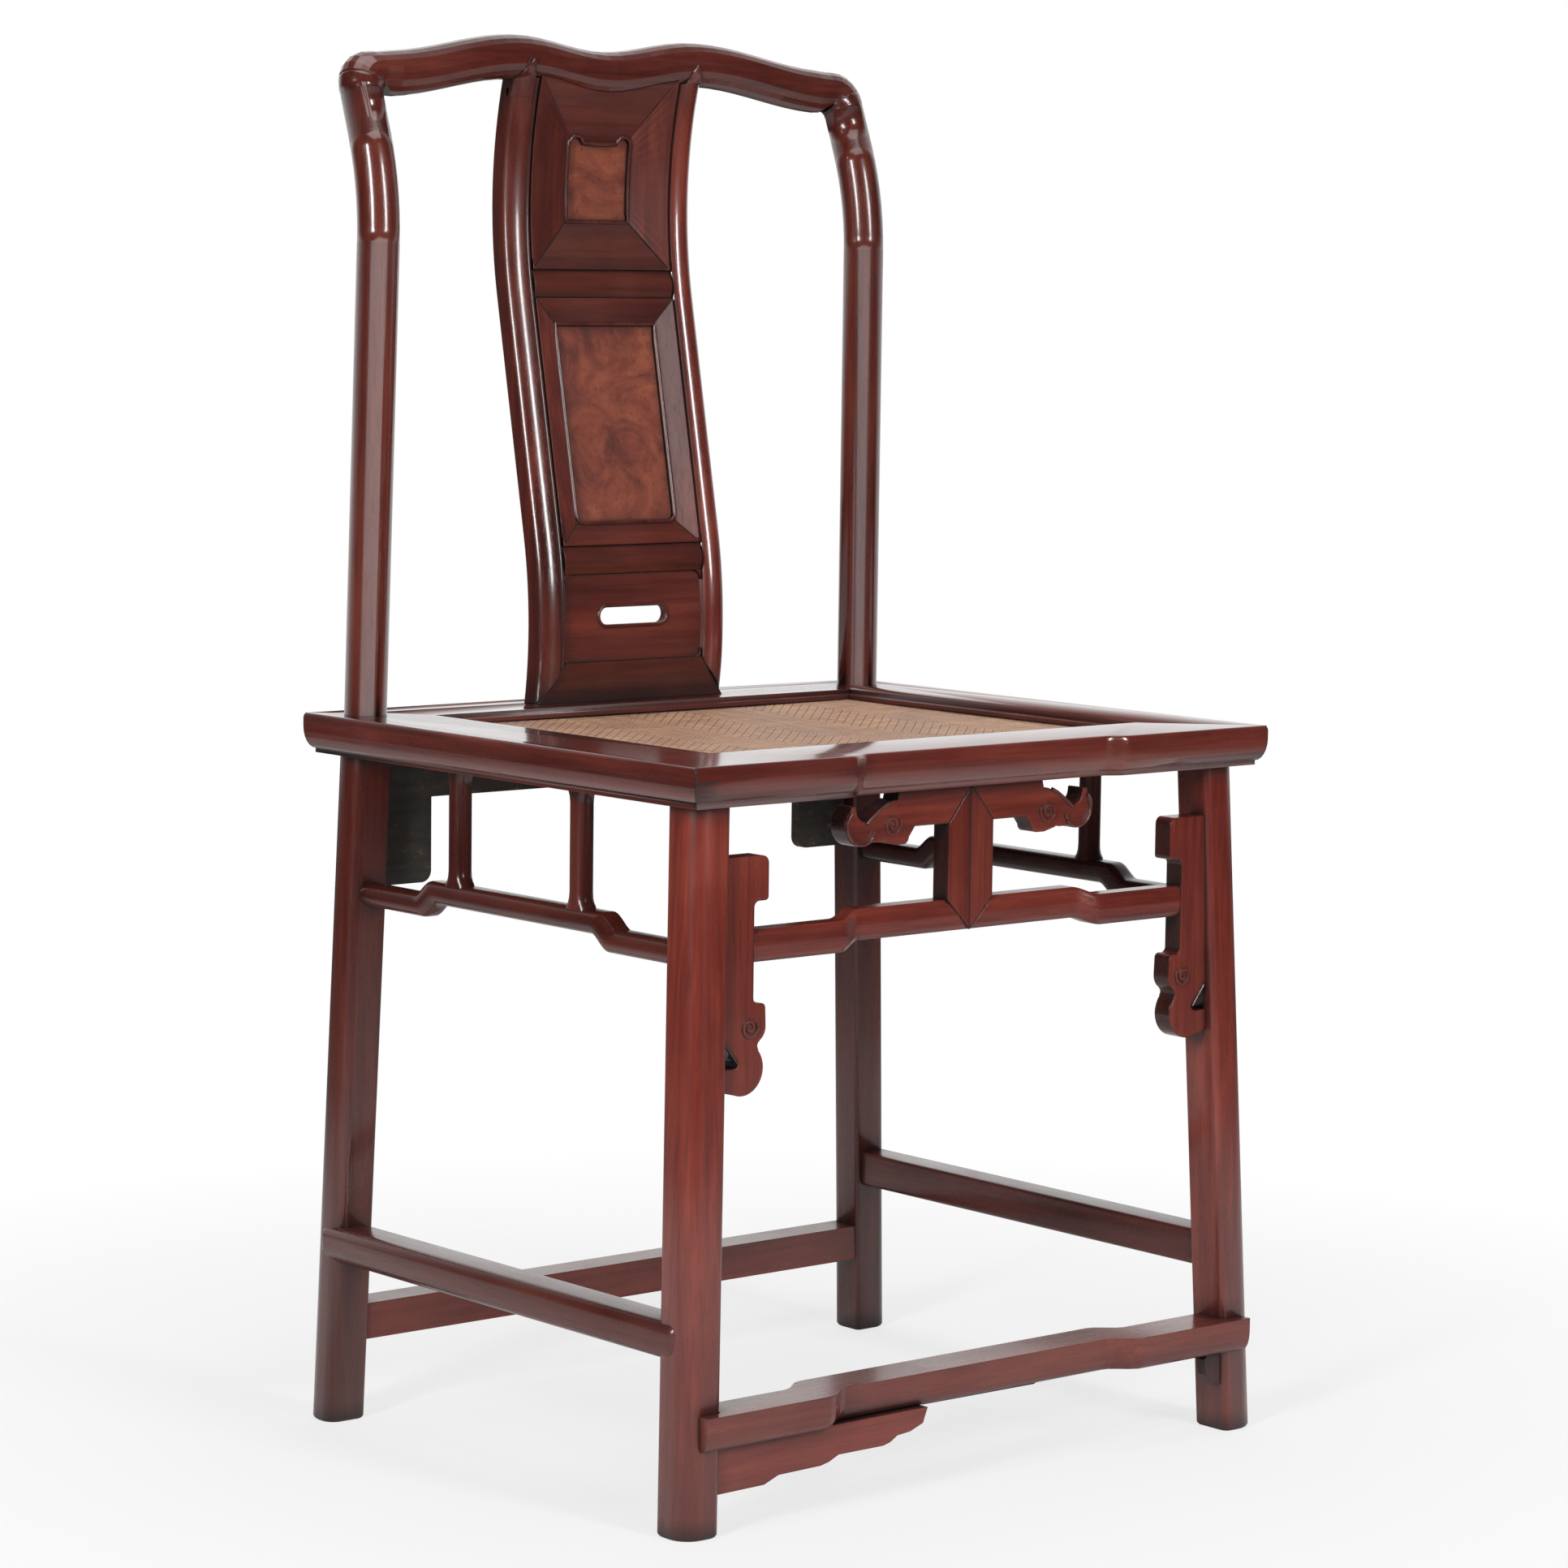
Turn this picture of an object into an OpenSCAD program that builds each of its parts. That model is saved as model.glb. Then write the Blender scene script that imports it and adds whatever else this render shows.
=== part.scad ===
// Lamp-hanger chair in polished hardwood, with a cane seat and a framed splat.
// Millimetres. The floor is z = 0, the front is -Y and the sitter's right hand is -X.

/* [Seat frame] */
// Width of the seat frame, side to side
seat_w = 500; // [460:5:540]
// Depth of the seat frame, front to back
seat_d = 426; // [390:2:460]
// Height of the seat frame's top above the floor
seat_h = 487; // [460:2:510]
// Thickness of the seat frame
seat_t = 27; // [24:0.5:32]
// Width of the seat frame's flat top, from its outer edge to the cane
frame_w = 64; // [58:1:72]
// Upright part of the seat frame's moulded edge
edge_flat = 9; // [6:0.5:12]
// How far the moulded edge draws in below
edge_inset = 6; // [4:0.5:9]
// Height of the lip along the bottom of the moulded edge
edge_lip = 3; // [2:0.5:4]
// How far the middle of the front rail steps back
seat_step = 7; // [4:0.5:10]
// Distance of the front rail's steps from the middle of the chair
seat_step_at = 112; // [90:1:130]

/* [Cane] */
// Width of the ledge that carries the cane
ledge_w = 10; // [8:0.5:14]
// Depth of the ledge below the top of the frame
ledge_deep = 10; // [8:0.5:14]
// Thickness of the cane mat
cane_t = 2; // [1.5:0.25:3]
// Thickness of the palm webbing under the cane
webbing_t = 2; // [1.5:0.25:3]
// Thickness of the strips that hold the edges of the cane
strip_t = 3; // [2:0.5:4]
// How far the cane sags in the middle
cane_sag = 5; // [2:0.5:8]
// Width of the two bowed battens under the seat
batten_w = 24; // [18:1:32]
// Depth of a batten's wood, top to bottom
batten_t = 18; // [14:1:22]
// Distance of the battens from the middle of the chair
batten_at = 70; // [50:1:100]

/* [Legs and posts] */
// Width of a square leg
leg_a = 29.5; // [27:0.5:32]
// Distance of a leg's middle from the side of the seat frame
leg_from_side = 29; // [27:0.5:31]
// Distance of a leg's middle from the front or back of the seat frame
leg_from_edge = 31; // [29:0.5:33]
// How far a foot stands out sideways from the top of its leg
splay_side = 18; // [8:1:26]
// How far a front foot stands forward from the top of its leg
splay_front = 17; // [8:1:24]
// How far a rear foot stands back from the top of its leg
splay_back = 7; // [0:1:12]
// Radius of the round outer corner of a front leg
leg_round = 10; // [6:0.5:13]
// Diameter of the round back posts
post_d = 29; // [27:0.5:30]
// Distance from the crest rail down to where the posts start to bend back
post_bend_drop = 114.5; // [98:0.5:138]
// Radius of the bend in the posts
post_bend_r = 200; // [170:5:230]
// Lean of the posts' tops, in degrees
post_lean = 20; // [14:1:24]

/* [Crest rail] */
// Height above the seat of the crest rail's middle line at the posts
crest_rise = 432.5; // [423:0.5:443]
// Diameter of the crest rail
crest_d = 31; // [29:0.5:33]
// Height of the two humps above the crest rail's ends
hump_up = 15.5; // [8:0.5:20]
// Height of the dip between the humps above the crest rail's ends
dip_up = 6.5; // [0:0.5:12]
// Distance of the humps from the middle of the chair
hump_at = 77; // [70:1:84]
// How far the crest rail bows back in the middle
crest_bow = 9; // [4:0.5:14]
// Radius of the turn from the crest rail down into a post
turn_r = 16; // [16:0.5:20]
// Radius of the outside of that turn
corner_r = 23.5; // [20:0.5:28]

/* [Splat] */
// Width of the splat over its stiles
splat_w = 165; // [158:1:170]
// Width of a stile
stile_w = 21.5; // [19:0.5:24]
// Thickness of a stile
stile_t = 20; // [18:0.5:24]
// Thickness of the splat's cross rails
cross_t = 17.5; // [16:0.5:19]
// Thickness of a panel frame at its outer edge
panel_t = 12; // [11:0.5:14]
// Thickness of a panel frame at its opening
panel_lip = 8; // [6:0.5:10]
// How far a burl panel lies behind the edge of its opening
burl_sink = 1.8; // [1:0.1:3]
// How far the splat's top stands in front of the crest rail's middle line
splat_forward = 4.8; // [4:0.1:5.5]
// Height above the seat at which the splat's lower curve is furthest forward
belly_rise = 53; // [43:1:63]
// Radius of the splat's lower curve
belly_r = 330; // [290:5:380]
// Slope of the splat's straight part, in degrees
splat_slope = 11.2; // [9:0.2:13]
// Radius of the splat's upper curve
neck_r = 330; // [290:5:380]
// Distance from the crest rail down to where the splat curves forward again
neck_drop = 149.5; // [140:0.5:160]
// Height of a cross rail of the splat
cross_h = 20; // [16:0.5:24]
// Height of the splat's bottom rail
foot_rail_h = 28; // [24:0.5:32]
// Height of the lower panel
lower_h = 62; // [54:1:68]
// Width of the middle burl panel's opening
middle_burl_w = 88; // [80:1:94]
// Width of the upper burl panel's opening
upper_burl_w = 55; // [48:1:62]
// Height of the upper burl panel's opening
upper_burl_h = 60; // [52:1:66]
// Distance from the crest rail's middle line down to the upper burl panel
upper_burl_drop = 37; // [34:0.5:42]
// Length of the finger slot in the lower panel
slot_w = 60; // [54:1:66]
// Height of the finger slot
slot_h = 13.5; // [11:0.5:18]

/* [Aprons and struts] */
// Thickness of the front apron
apron_t = 14.5; // [12:0.5:16]
// Height of the front apron's lower rail
apron_rail_h = 20.5; // [17:0.5:23]
// Distance from the seat frame down to the underside of the apron's lower rail
apron_drop = 101; // [94:1:108]
// Rise of the lower rail's middle
apron_rise = 5.5; // [3:0.5:8]
// How far the middle of the apron steps back
apron_step = 6; // [4:0.5:8]
// Distance of the apron's steps from the middle of the chair
apron_step_at = 104; // [96:1:112]
// Width of an upright in the middle of the apron
upright_w = 19.5; // [16:0.5:22]
// Height of the apron's upper arms
arm_h = 24.5; // [22:0.5:27]
// Width of an end bracket beside its leg
bracket_w = 22; // [19:0.5:24]
// Height of the side rails' wood
side_rail_h = 15; // [13:0.5:18]
// Depth of the side rails' wood
side_rail_d = 18; // [15:0.5:20]
// Distance from the seat frame down to the underside of a side rail at the legs
side_drop = 102.5; // [96:0.5:110]
// Rise of a side rail's middle
side_rise = 10; // [6:0.5:14]
// Width of a strut between a side rail and the seat
strut_w = 14; // [11:0.5:15]
// Distance of the struts from the middle of the chair
strut_at = 66; // [56:1:72]
// Height of the board under the rear seat rail
rear_board_h = 33; // [28:1:40]
// Width of a drop at the end of the rear apron
drop_w = 43; // [36:1:54]
// Distance from the seat frame down to the underside of the drops
drop_h = 92; // [85:1:105]
// Thickness of the rear apron
rear_apron_t = 8; // [6:0.5:10]

/* [Stretchers] */
// Height of the front foot stretcher's top above the floor
foot_bar_z = 79; // [70:1:88]
// Height of the front foot stretcher's wood
foot_bar_h = 22.5; // [19:0.5:26]
// Depth of the front foot stretcher, front to back
foot_bar_d = 32; // [28:0.5:36]
// How far the middle of the front foot stretcher steps back
foot_bar_step = 13; // [8:0.5:15]
// Distance of the foot stretcher's steps from the middle of the chair
foot_bar_step_at = 127; // [110:1:140]
// Height of the rear stretcher's top above the floor
rear_bar_z = 80; // [72:1:88]
// Height of the side stretchers' tops above the floor
side_bar_z = 136; // [126:1:146]
// Height of the wood of the side and rear stretchers
bar_h = 25; // [22:0.5:28]
// Width of the side and rear stretchers
bar_w = 25; // [22:0.5:26]
// Thickness of the broken apron under the foot stretcher
foot_apron_t = 8; // [6:0.5:10]
// Depth of the broken apron's left part
foot_apron_deep = 30.5; // [24:0.5:36]

/* [Hidden] */

polished = "#6b2f2a";
dark_wood = "#3a2a28";
burl_wood = "#86452f";
cane_tan = "#b98d6a";
palm_brown = "#7a5638";
unpolished = "#2b2724";

// Small steps and margins that several pieces share
big = 1000;
eps = 0.01;
edge_steps = 6;
bend_steps = 8;

// Heights and places that follow from the driving sizes
seat_low = seat_h - seat_t;
seat_x = seat_w / 2;
seat_y = seat_d / 2;
hole_x = seat_x - frame_w;
hole_y = seat_y - frame_w;
rail_all = frame_w + ledge_w;
ledge_z = seat_h - ledge_deep;
cane_z = ledge_z + webbing_t;
strip_z = cane_z + cane_t;
leg_half = leg_a / 2;
leg_x = seat_x - leg_from_side;
leg_y = seat_y - leg_from_edge;
crest_z = seat_h + crest_rise;
post_bend_z = crest_z - post_bend_drop;
belly_z = seat_h + belly_rise;
neck_z = crest_z - neck_drop;
apron_rail_z = seat_low - apron_drop;
side_rail_z = seat_low - side_drop;
drop_z = seat_low - drop_h;

// Middle of a leg at height z, measured out from the middle of the chair
function leg_x_at(z) = leg_x + splay_side * (seat_h - z) / seat_h;
function front_y_at(z) = leg_y + splay_front * (seat_h - z) / seat_h;
function rear_y_at(z) = leg_y + splay_back * (seat_h - z) / seat_h;

// Soft step from 0 to 1
function ease(t) = let (c = min(1, max(0, t))) c * c * (3 - 2 * c);

// Points of an arc about c
function arc(c, r, from, to, n) =
    [for (i = [0:n]) let (a = from + (to - from) * i / n) c + r * [cos(a), sin(a)]];

// Edge moulding in the y-z plane: upright above, drawn in below, with or without a lip
function edge_profile(depth, h, flat, inset, lip) =
    concat(
        [[inset, 0], [depth, 0], [depth, h], [0, h]],
        [for (i = [0:lip > 0 ? edge_steps : edge_steps - 1]) let (a = 90 * i / edge_steps)
            [inset * (1 - cos(a)), lip + (h - flat - lip) * (1 - sin(a))]]);

// Solid through a row of rings that run the same way round
module loft(rings) {
    n = len(rings);
    k = len(rings[0]);
    polyhedron(
        [for (ring = rings) for (p = ring) p],
        concat(
            [[for (i = [0:k - 1]) i]],
            [[for (i = [k - 1:-1:0]) (n - 1) * k + i]],
            [for (j = [0:n - 2]) for (i = [0:k - 1])
                [j * k + i, (j + 1) * k + i, (j + 1) * k + (i + 1) % k]],
            [for (j = [0:n - 2]) for (i = [0:k - 1])
                [j * k + i, (j + 1) * k + (i + 1) % k, j * k + (i + 1) % k]]));
}

// Share of a step that a bar has made at x: 1 in the middle and 0 at the ends
function stepped(x, at, run) = 1 - ease((abs(x) - at + run / 2) / run);

// Places along a bar where its rings stand: close together on the steps
function stations(from, to, at, run) =
    concat(
        [from],
        [for (i = [0:bend_steps]) let (x = -at - run / 2 + run * i / bend_steps)
            if (x > from + 1 && x < to - 1) x],
        [for (i = [0:bend_steps]) let (x = at - run / 2 + run * i / bend_steps)
            if (x > from + 1 && x < to - 1) x],
        [to]);

// Bar along x with profile points [y, z], whose middle steps back and up. The step may
// stand nearer the middle along the underside and further out along the back.
module stepped_bar(profile, from, to, back, up, at, run, low_shift = 0, back_shift = 0) {
    top = max([for (p = profile) p[1]]);
    deep = max([for (p = profile) p[0]]);
    spread = run + 2 * max(low_shift, back_shift);
    loft([for (x = stations(from, to, at, spread))
        [for (p = profile)
            let (place = at - low_shift * (1 - p[1] / top) + back_shift * p[0] / deep,
                 s = stepped(x, place, run))
            [x, p[0] + back * s, p[1] + up * s]]]);
}

// Square with its corners rounded, given outer, side and inner radii. Outer is at -x -y.
module rounded_corner(r) {
    difference() {
        translate([-1, -1]) square(r + 1);
        translate([r, r]) circle(r, $fn = 48);
    }
}

module leg_section(outer, side, inner) {
    difference() {
        square(leg_a, center = true);
        translate([-leg_half, -leg_half]) rounded_corner(outer);
        translate([leg_half, -leg_half]) rotate(90) rounded_corner(side);
        translate([leg_half, leg_half]) rotate(180) rounded_corner(inner);
        translate([-leg_half, leg_half]) rotate(270) rounded_corner(side);
    }
}

// Leg of the front left corner, from the floor to the seat frame
module leaning_leg(out, forward, outer, side, inner) {
    length = seat_h + 20;
    slant_y = asin(forward / norm([out, forward, seat_h]));
    slant_x = atan(out / seat_h);
    intersection() {
        translate([-leg_x, -leg_y, seat_h]) rotate([-slant_y, slant_x, 0])
            translate([0, 0, -length]) linear_extrude(length) leg_section(outer, side, inner);
        translate([-leg_x - out - leg_a * 2, -leg_y - forward - leg_a * 2, 0])
            cube([leg_a * 4, leg_a * 4, seat_low]);
    }
}

module front_leg_blank() {
    leaning_leg(splay_side, splay_front, leg_round, 3, 2);
}

module rear_leg_blank() {
    mirror([0, 1, 0]) leaning_leg(splay_side, splay_back, 12, 9, 3);
}

// Tenons, one shape for the tongue and for the hole that takes it
tenon_t = 9;
leg_tenon = 18;
module front_leg_tenon() {
    translate([-leg_x - leg_tenon / 2, -leg_y - leg_tenon / 2, seat_low])
        cube([leg_tenon, leg_tenon, seat_t - 8]);
}

tenon_len = 16;
bar_tenon_h = 13;
module front_bar_tenon(z, y) {
    translate([-leg_x_at(z) + leg_half - tenon_len, y - tenon_t / 2, z - bar_tenon_h / 2])
        cube([tenon_len + 4, tenon_t, bar_tenon_h]);
}

module side_bar_tenon(z, y_leg, sign) {
    y_end = y_leg - leg_half;
    translate([-leg_x_at(z) - tenon_t / 2, sign > 0 ? y_end - 4 : -y_end - tenon_len,
               z - bar_tenon_h / 2])
        cube([tenon_t, tenon_len + 4, bar_tenon_h]);
}

foot_tenon_z = foot_bar_z - foot_bar_h / 2;
rear_tenon_z = rear_bar_z - bar_h / 2;
side_tenon_z = side_bar_z - bar_h / 2;
side_rail_mid = side_rail_z + side_rail_h / 2;

module front_foot_tenon() {
    front_bar_tenon(foot_tenon_z, foot_bar_front + foot_bar_d - tenon_t / 2 - 1);
}

module rear_foot_tenon() {
    front_bar_tenon(rear_tenon_z, rear_y_at(rear_tenon_z));
}

module side_tenon_front() {
    side_bar_tenon(side_tenon_z, front_y_at(side_tenon_z), -1);
}

module side_tenon_rear() {
    side_bar_tenon(side_tenon_z, rear_y_at(side_tenon_z), 1);
}

// Stub tenon of a side rail, which is thinner than a stretcher
rail_stub = 9;
module side_rail_stub(y_end, sign) {
    translate([-side_rail_x - tenon_t / 2, sign > 0 ? y_end - 2 : -y_end - rail_stub,
               side_rail_z + 3])
        cube([tenon_t, rail_stub + 2, side_rail_h - 6]);
}

side_rail_x = leg_x_at(side_rail_mid) - 1;
side_rail_front = front_y_at(side_rail_mid) - leg_half;
side_rail_rear = rear_y_at(side_rail_mid) - leg_half;

module front_left_leg_shape() {
    color(polished) {
        difference() {
            front_leg_blank();
            front_foot_tenon();
            side_tenon_front();
            side_rail_stub(side_rail_front, -1);
        }
        front_leg_tenon();
    }
}

// Back post above the seat, in a plane that leans inwards: straight, a bend backwards and
// straight again, then a turn into the crest rail
post_in = 0.9;
post_forward = 1.13;
post_low = [-leg_x, leg_y, seat_low];
post_run = (post_bend_z - seat_low) / cos(post_in) / cos(post_forward);
bend_y = post_bend_r * (cos(post_forward) - cos(post_lean)) - post_run * sin(post_forward);
bend_z = post_bend_r * (sin(post_forward) + sin(post_lean)) + post_run * cos(post_forward);
turn_lean = atan2(sin(post_lean), cos(post_lean) * cos(post_in));
turn_in = asin(cos(post_lean) * sin(post_in));
post_end = (crest_z - turn_r * (1 - sin(turn_in)) * cos(turn_lean) - seat_low) / cos(post_in);
post_top_run = (post_end - bend_z) / cos(post_lean);
crest_y = leg_y + bend_y + post_top_run * sin(post_lean)
    + turn_r * (1 - sin(turn_in)) * sin(turn_lean);
crest_end = leg_x - post_end * sin(post_in) - turn_r * cos(turn_in);

module post_plane() {
    translate(post_low) rotate([0, post_in, 0]) children();
}

// Where two round stretches meet, the second runs 1 mm into the first and is a hair thinner
hair = 0.1;
lap = 1;

module post_foot() {
    intersection() {
        post_plane() rotate([post_forward, 0, 0]) translate([0, 0, -10])
            cylinder(h = post_run + 10, d = post_d, $fn = 64);
        translate([-leg_x - 50, leg_y - 50, seat_low]) cube([100, 100, big]);
    }
}

module post_upper() {
    lap_angle = lap / post_bend_r * 180 / PI;
    post_plane() {
        rotate([post_forward, 0, 0]) translate([0, post_bend_r, post_run])
            rotate([90, 0, -90]) rotate([0, 0, -lap_angle])
            rotate_extrude(angle = post_lean + post_forward + lap_angle, $fn = 96)
            translate([post_bend_r, 0]) circle(d = post_d - hair, $fn = 64);
        translate([0, bend_y, bend_z]) rotate([-post_lean, 0, 0]) translate([0, 0, -lap])
            cylinder(h = post_top_run + 2 * lap, d = post_d - 2 * hair, $fn = 64);
    }
}

// Spaces above and below the pipe mitre between the post and the crest rail
mitre_tilt = 24;
module above_mitre() {
    mitre_plane() translate([-60, -60, 0]) cube([200, 120, 80]);
}

module below_mitre() {
    mitre_plane() translate([-60, -60, -80]) cube([90, 120, 80]);
}

module mitre_plane() {
    translate([-crest_end - turn_r, crest_y, crest_z]) rotate([-turn_lean, 0, 0])
        translate([0, 0, -5]) rotate([0, mitre_tilt, 0]) children();
}

module rear_left_leg_shape() {
    color(polished) {
        difference() {
            rear_leg_blank();
            rear_foot_tenon();
            side_tenon_rear();
            side_rail_stub(side_rail_rear, 1);
        }
        post_foot();
        post_upper();
        difference() {
            loft([for (i = [0:6]) turn_ring((90 - turn_in) * (1 - i / 7.5), -1)]);
            above_mitre();
        }
    }
}

// Seat frame: four moulded rails, mitred at the corners
seat_profile = concat(
    [for (p = edge_profile(rail_all, seat_t, edge_flat, edge_inset, edge_lip))
        if (p[0] < rail_all) p]);
frame_section = concat(
    [[edge_inset, 0], [rail_all, 0], [rail_all, seat_t - ledge_deep],
     [frame_w, seat_t - ledge_deep], [frame_w, seat_t]],
    [for (i = [1:len(seat_profile) - 1]) seat_profile[i]]);
seat_run = 18;

module seat_corner_cuts() {
    for (s = [0, 1]) mirror([s, 0, 0]) {
        front_leg_tenon();
        post_foot();
    }
}

module front_rail_shape() {
    ends = concat(
        [[for (p = frame_section) [-seat_x + p[0], p[0], p[1]]]],
        [for (x = stations(-seat_x + rail_all + 1, seat_x - rail_all - 1, seat_step_at, seat_run))
            [for (p = frame_section)
                let (near = p[0] < frame_w ? 1 : 0, s = stepped(x, seat_step_at, seat_run))
                [x, p[0] + seat_step * s * near, p[1]]]],
        [[for (p = frame_section) [seat_x - p[0], p[0], p[1]]]]);
    translate([0, -seat_y, seat_low]) loft(ends);
}

module straight_rail_shape(length) {
    intersection() {
        rotate([90, 0, 90]) translate([0, 0, -length / 2])
            linear_extrude(length) polygon(frame_section);
        linear_extrude(seat_t + 2, center = false)
            polygon([[-length / 2, 0], [length / 2, 0],
                     [length / 2 - rail_all, rail_all], [-length / 2 + rail_all, rail_all]]);
    }
}

// Bowed batten under the cane, tenoned into the front and rear rails
batten_end = 14;
batten_bow = 9;
module batten_shape() {
    half = seat_y - rail_all;
    top = seat_low + seat_t - ledge_deep - cane_sag - 1;
    n = 12;
    upper = [for (i = [0:n]) let (y = -half + 2 * half * i / n)
        [y, top - batten_bow * (1 - pow(y / half, 2))]];
    lower = [for (i = [n:-1:0]) let (y = -half + 2 * half * i / n)
        [y, upper[i][1] - batten_t + 4 * pow(y / half, 2)]];
    rotate([90, 0, 90]) translate([0, 0, -batten_w / 2])
        linear_extrude(batten_w) polygon(concat(upper, lower));
    for (s = [0, 1]) mirror([0, s, 0]) batten_tenon();
}

module batten_tenon() {
    top = seat_low + seat_t - ledge_deep - cane_sag - 1;
    translate([-batten_w / 2 + 4, seat_y - rail_all - eps, top - 10])
        cube([batten_w - 8, batten_end, 7]);
}

module batten_holes() {
    for (s = [-1, 1]) for (m = [0, 1])
        mirror([0, m, 0]) translate([s * batten_at, 0, 0]) batten_tenon();
}

// Sheet that sags between its straight edges
function sag_at(x, y, a, b) = -cane_sag * (1 - pow(x / a, 2)) * (1 - pow(y / b, 2));
module sagging_sheet(z, t) {
    a = hole_x - 0.2;
    b = hole_y - 0.2;
    nx = 12;
    ny = 10;
    ia = hole_x - ledge_w;
    ib = hole_y - ledge_w;
    xs = concat([-a], [for (i = [0:nx]) -ia + 2 * ia * i / nx], [a]);
    ys = concat([-b], [for (i = [0:ny]) -ib + 2 * ib * i / ny], [b]);
    mx = len(xs);
    my = len(ys);
    drop = [for (y = ys) for (x = xs) abs(x) < ia && abs(y) < ib ? sag_at(x, y, ia, ib) : 0];
    top = [for (j = [0:my - 1]) for (i = [0:mx - 1]) [xs[i], ys[j], z + t + drop[j * mx + i]]];
    low = [for (j = [0:my - 1]) for (i = [0:mx - 1]) [xs[i], ys[j], z + drop[j * mx + i]]];
    m = mx * my;
    rim = concat(
        [for (i = [0:mx - 2]) i],
        [for (j = [0:my - 2]) j * mx + mx - 1],
        [for (i = [mx - 1:-1:1]) (my - 1) * mx + i],
        [for (j = [my - 1:-1:1]) j * mx]);
    r = len(rim);
    polyhedron(
        concat(top, low),
        concat(
            [for (j = [0:my - 2]) for (i = [0:mx - 2])
                [j * mx + i, (j + 1) * mx + i, (j + 1) * mx + i + 1]],
            [for (j = [0:my - 2]) for (i = [0:mx - 2])
                [j * mx + i, (j + 1) * mx + i + 1, j * mx + i + 1]],
            [for (j = [0:my - 2]) for (i = [0:mx - 2])
                [m + j * mx + i, m + (j + 1) * mx + i + 1, m + (j + 1) * mx + i]],
            [for (j = [0:my - 2]) for (i = [0:mx - 2])
                [m + j * mx + i, m + j * mx + i + 1, m + (j + 1) * mx + i + 1]],
            [for (i = [0:r - 1]) [rim[i], rim[(i + 1) % r], m + rim[(i + 1) % r]]],
            [for (i = [0:r - 1]) [rim[i], m + rim[(i + 1) % r], m + rim[i]]]));
}

// Strip over an edge of the cane, mitred at both ends, with its outer edge on y = 0
module cane_strip_shape(length) {
    half = length / 2;
    linear_extrude(strip_t)
        polygon([[-half, 0], [half, 0], [half - ledge_w, ledge_w], [-half + ledge_w, ledge_w]]);
}

// Crest rail: a round bar with two humps, a dip between them and a bow backwards
function half_wave(t) = (1 - cos(180 * t)) / 2;
function crest_lift(x) = let (a = abs(x))
    a > hump_at ? hump_up * half_wave((crest_end - a) / (crest_end - hump_at))
                : dip_up + (hump_up - dip_up) * half_wave(a / hump_at);
function crest_back(x) = crest_bow * half_wave(1 - abs(x) / crest_end);
crest_sides = 20;
crest_rings = 34;
crest_turn_rings = 6;
clear = 0.3;
crest_end_r = post_d / 2 / cos(180 / crest_sides);
function crest_x(i) = -crest_end + 2 * crest_end * i / crest_rings;
function bar_ring(i, grow) =
    let (x = crest_x(i), blend = min(1, (crest_end - abs(x)) / 12),
         r = crest_end_r + (crest_d / 2 - crest_end_r) * blend + grow)
    [for (k = [0:crest_sides - 1]) let (a = 360 * k / crest_sides)
        [x, crest_y + crest_back(x) + r * cos(a), crest_z + crest_lift(x) + r * sin(a)]];

// Ring of the crest rail's turned end, at an angle down from level, left or right. The
// outside of the turn is squarer than a round bend.
function corner_reach(down) =
    let (c = turn_r + crest_end_r - corner_r, d = c * (sin(down) - cos(down)))
    (c * (sin(down) + cos(down)) + sqrt(corner_r * corner_r - d * d) - turn_r) / crest_end_r;
function turn_ring(down, side) =
    let (up = [0, sin(turn_lean), cos(turn_lean)], across = [0, cos(turn_lean), -sin(turn_lean)],
         out = [side * sin(down), up[1] * cos(down), up[2] * cos(down)],
         c = [side * crest_end, crest_y, crest_z] - turn_r * up + turn_r * out)
    [for (k = [0:crest_sides - 1])
        let (a = 360 * k / crest_sides + turn_lean, reach = sin(a) > 0 ? corner_reach(down) : 1)
        c + crest_end_r * (cos(a) * across + sin(a) * reach * out)];

module crest_bar(first, last, grow) {
    loft([for (i = [first:last]) bar_ring(i, grow)]);
}

module whole_crest() {
    loft(concat(
        [for (i = [crest_turn_rings:-1:1]) turn_ring(12 * i, -1)],
        [for (i = [0:crest_rings]) bar_ring(i, 0)],
        [for (i = [1:crest_turn_rings]) turn_ring(12 * i, 1)]));
}

// Middle length of the crest rail with a hair's clearance, to cut the splat's top
splat_ring = ceil((crest_end - splat_w / 2 - 2) / (2 * crest_end) * crest_rings) - 1;
module crest_cutter() {
    crest_bar(splat_ring, crest_rings - splat_ring, clear);
}

// Middle surface of the splat: an S made of two arcs and a straight part. It is placed so
// that its top meets the crest rail.
belly_top = belly_z + belly_r * sin(splat_slope);
straight_run = belly_r * (1 - cos(splat_slope));
neck_run = straight_run + (neck_z - belly_top) * tan(splat_slope);
function back_run(z) =
    z < belly_top ? belly_r - sqrt(belly_r * belly_r - pow(z - belly_z, 2))
    : z < neck_z ? straight_run + (z - belly_top) * tan(splat_slope)
    : let (centre_z = neck_z + neck_r * sin(splat_slope))
      neck_run - neck_r * cos(splat_slope) + sqrt(neck_r * neck_r - pow(z - centre_z, 2));
crest_reach = crest_z + hump_up;
splat_y = crest_y + crest_back(splat_w / 2) - splat_forward - back_run(crest_reach);
function back_y(z) = splat_y + back_run(z);

// Piece that follows the splat's S from its low to its high ends. Each section point
// is [x, y off the middle surface], and the ends may slope with x.
module along_back(section, lows, highs, n) {
    loft([for (j = [0:n])
        [for (i = [0:len(section) - 1])
            let (z = lows[i] + (highs[i] - lows[i]) * j / n)
            [section[i][0], back_y(z) + section[i][1], z]]]);
}

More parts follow.
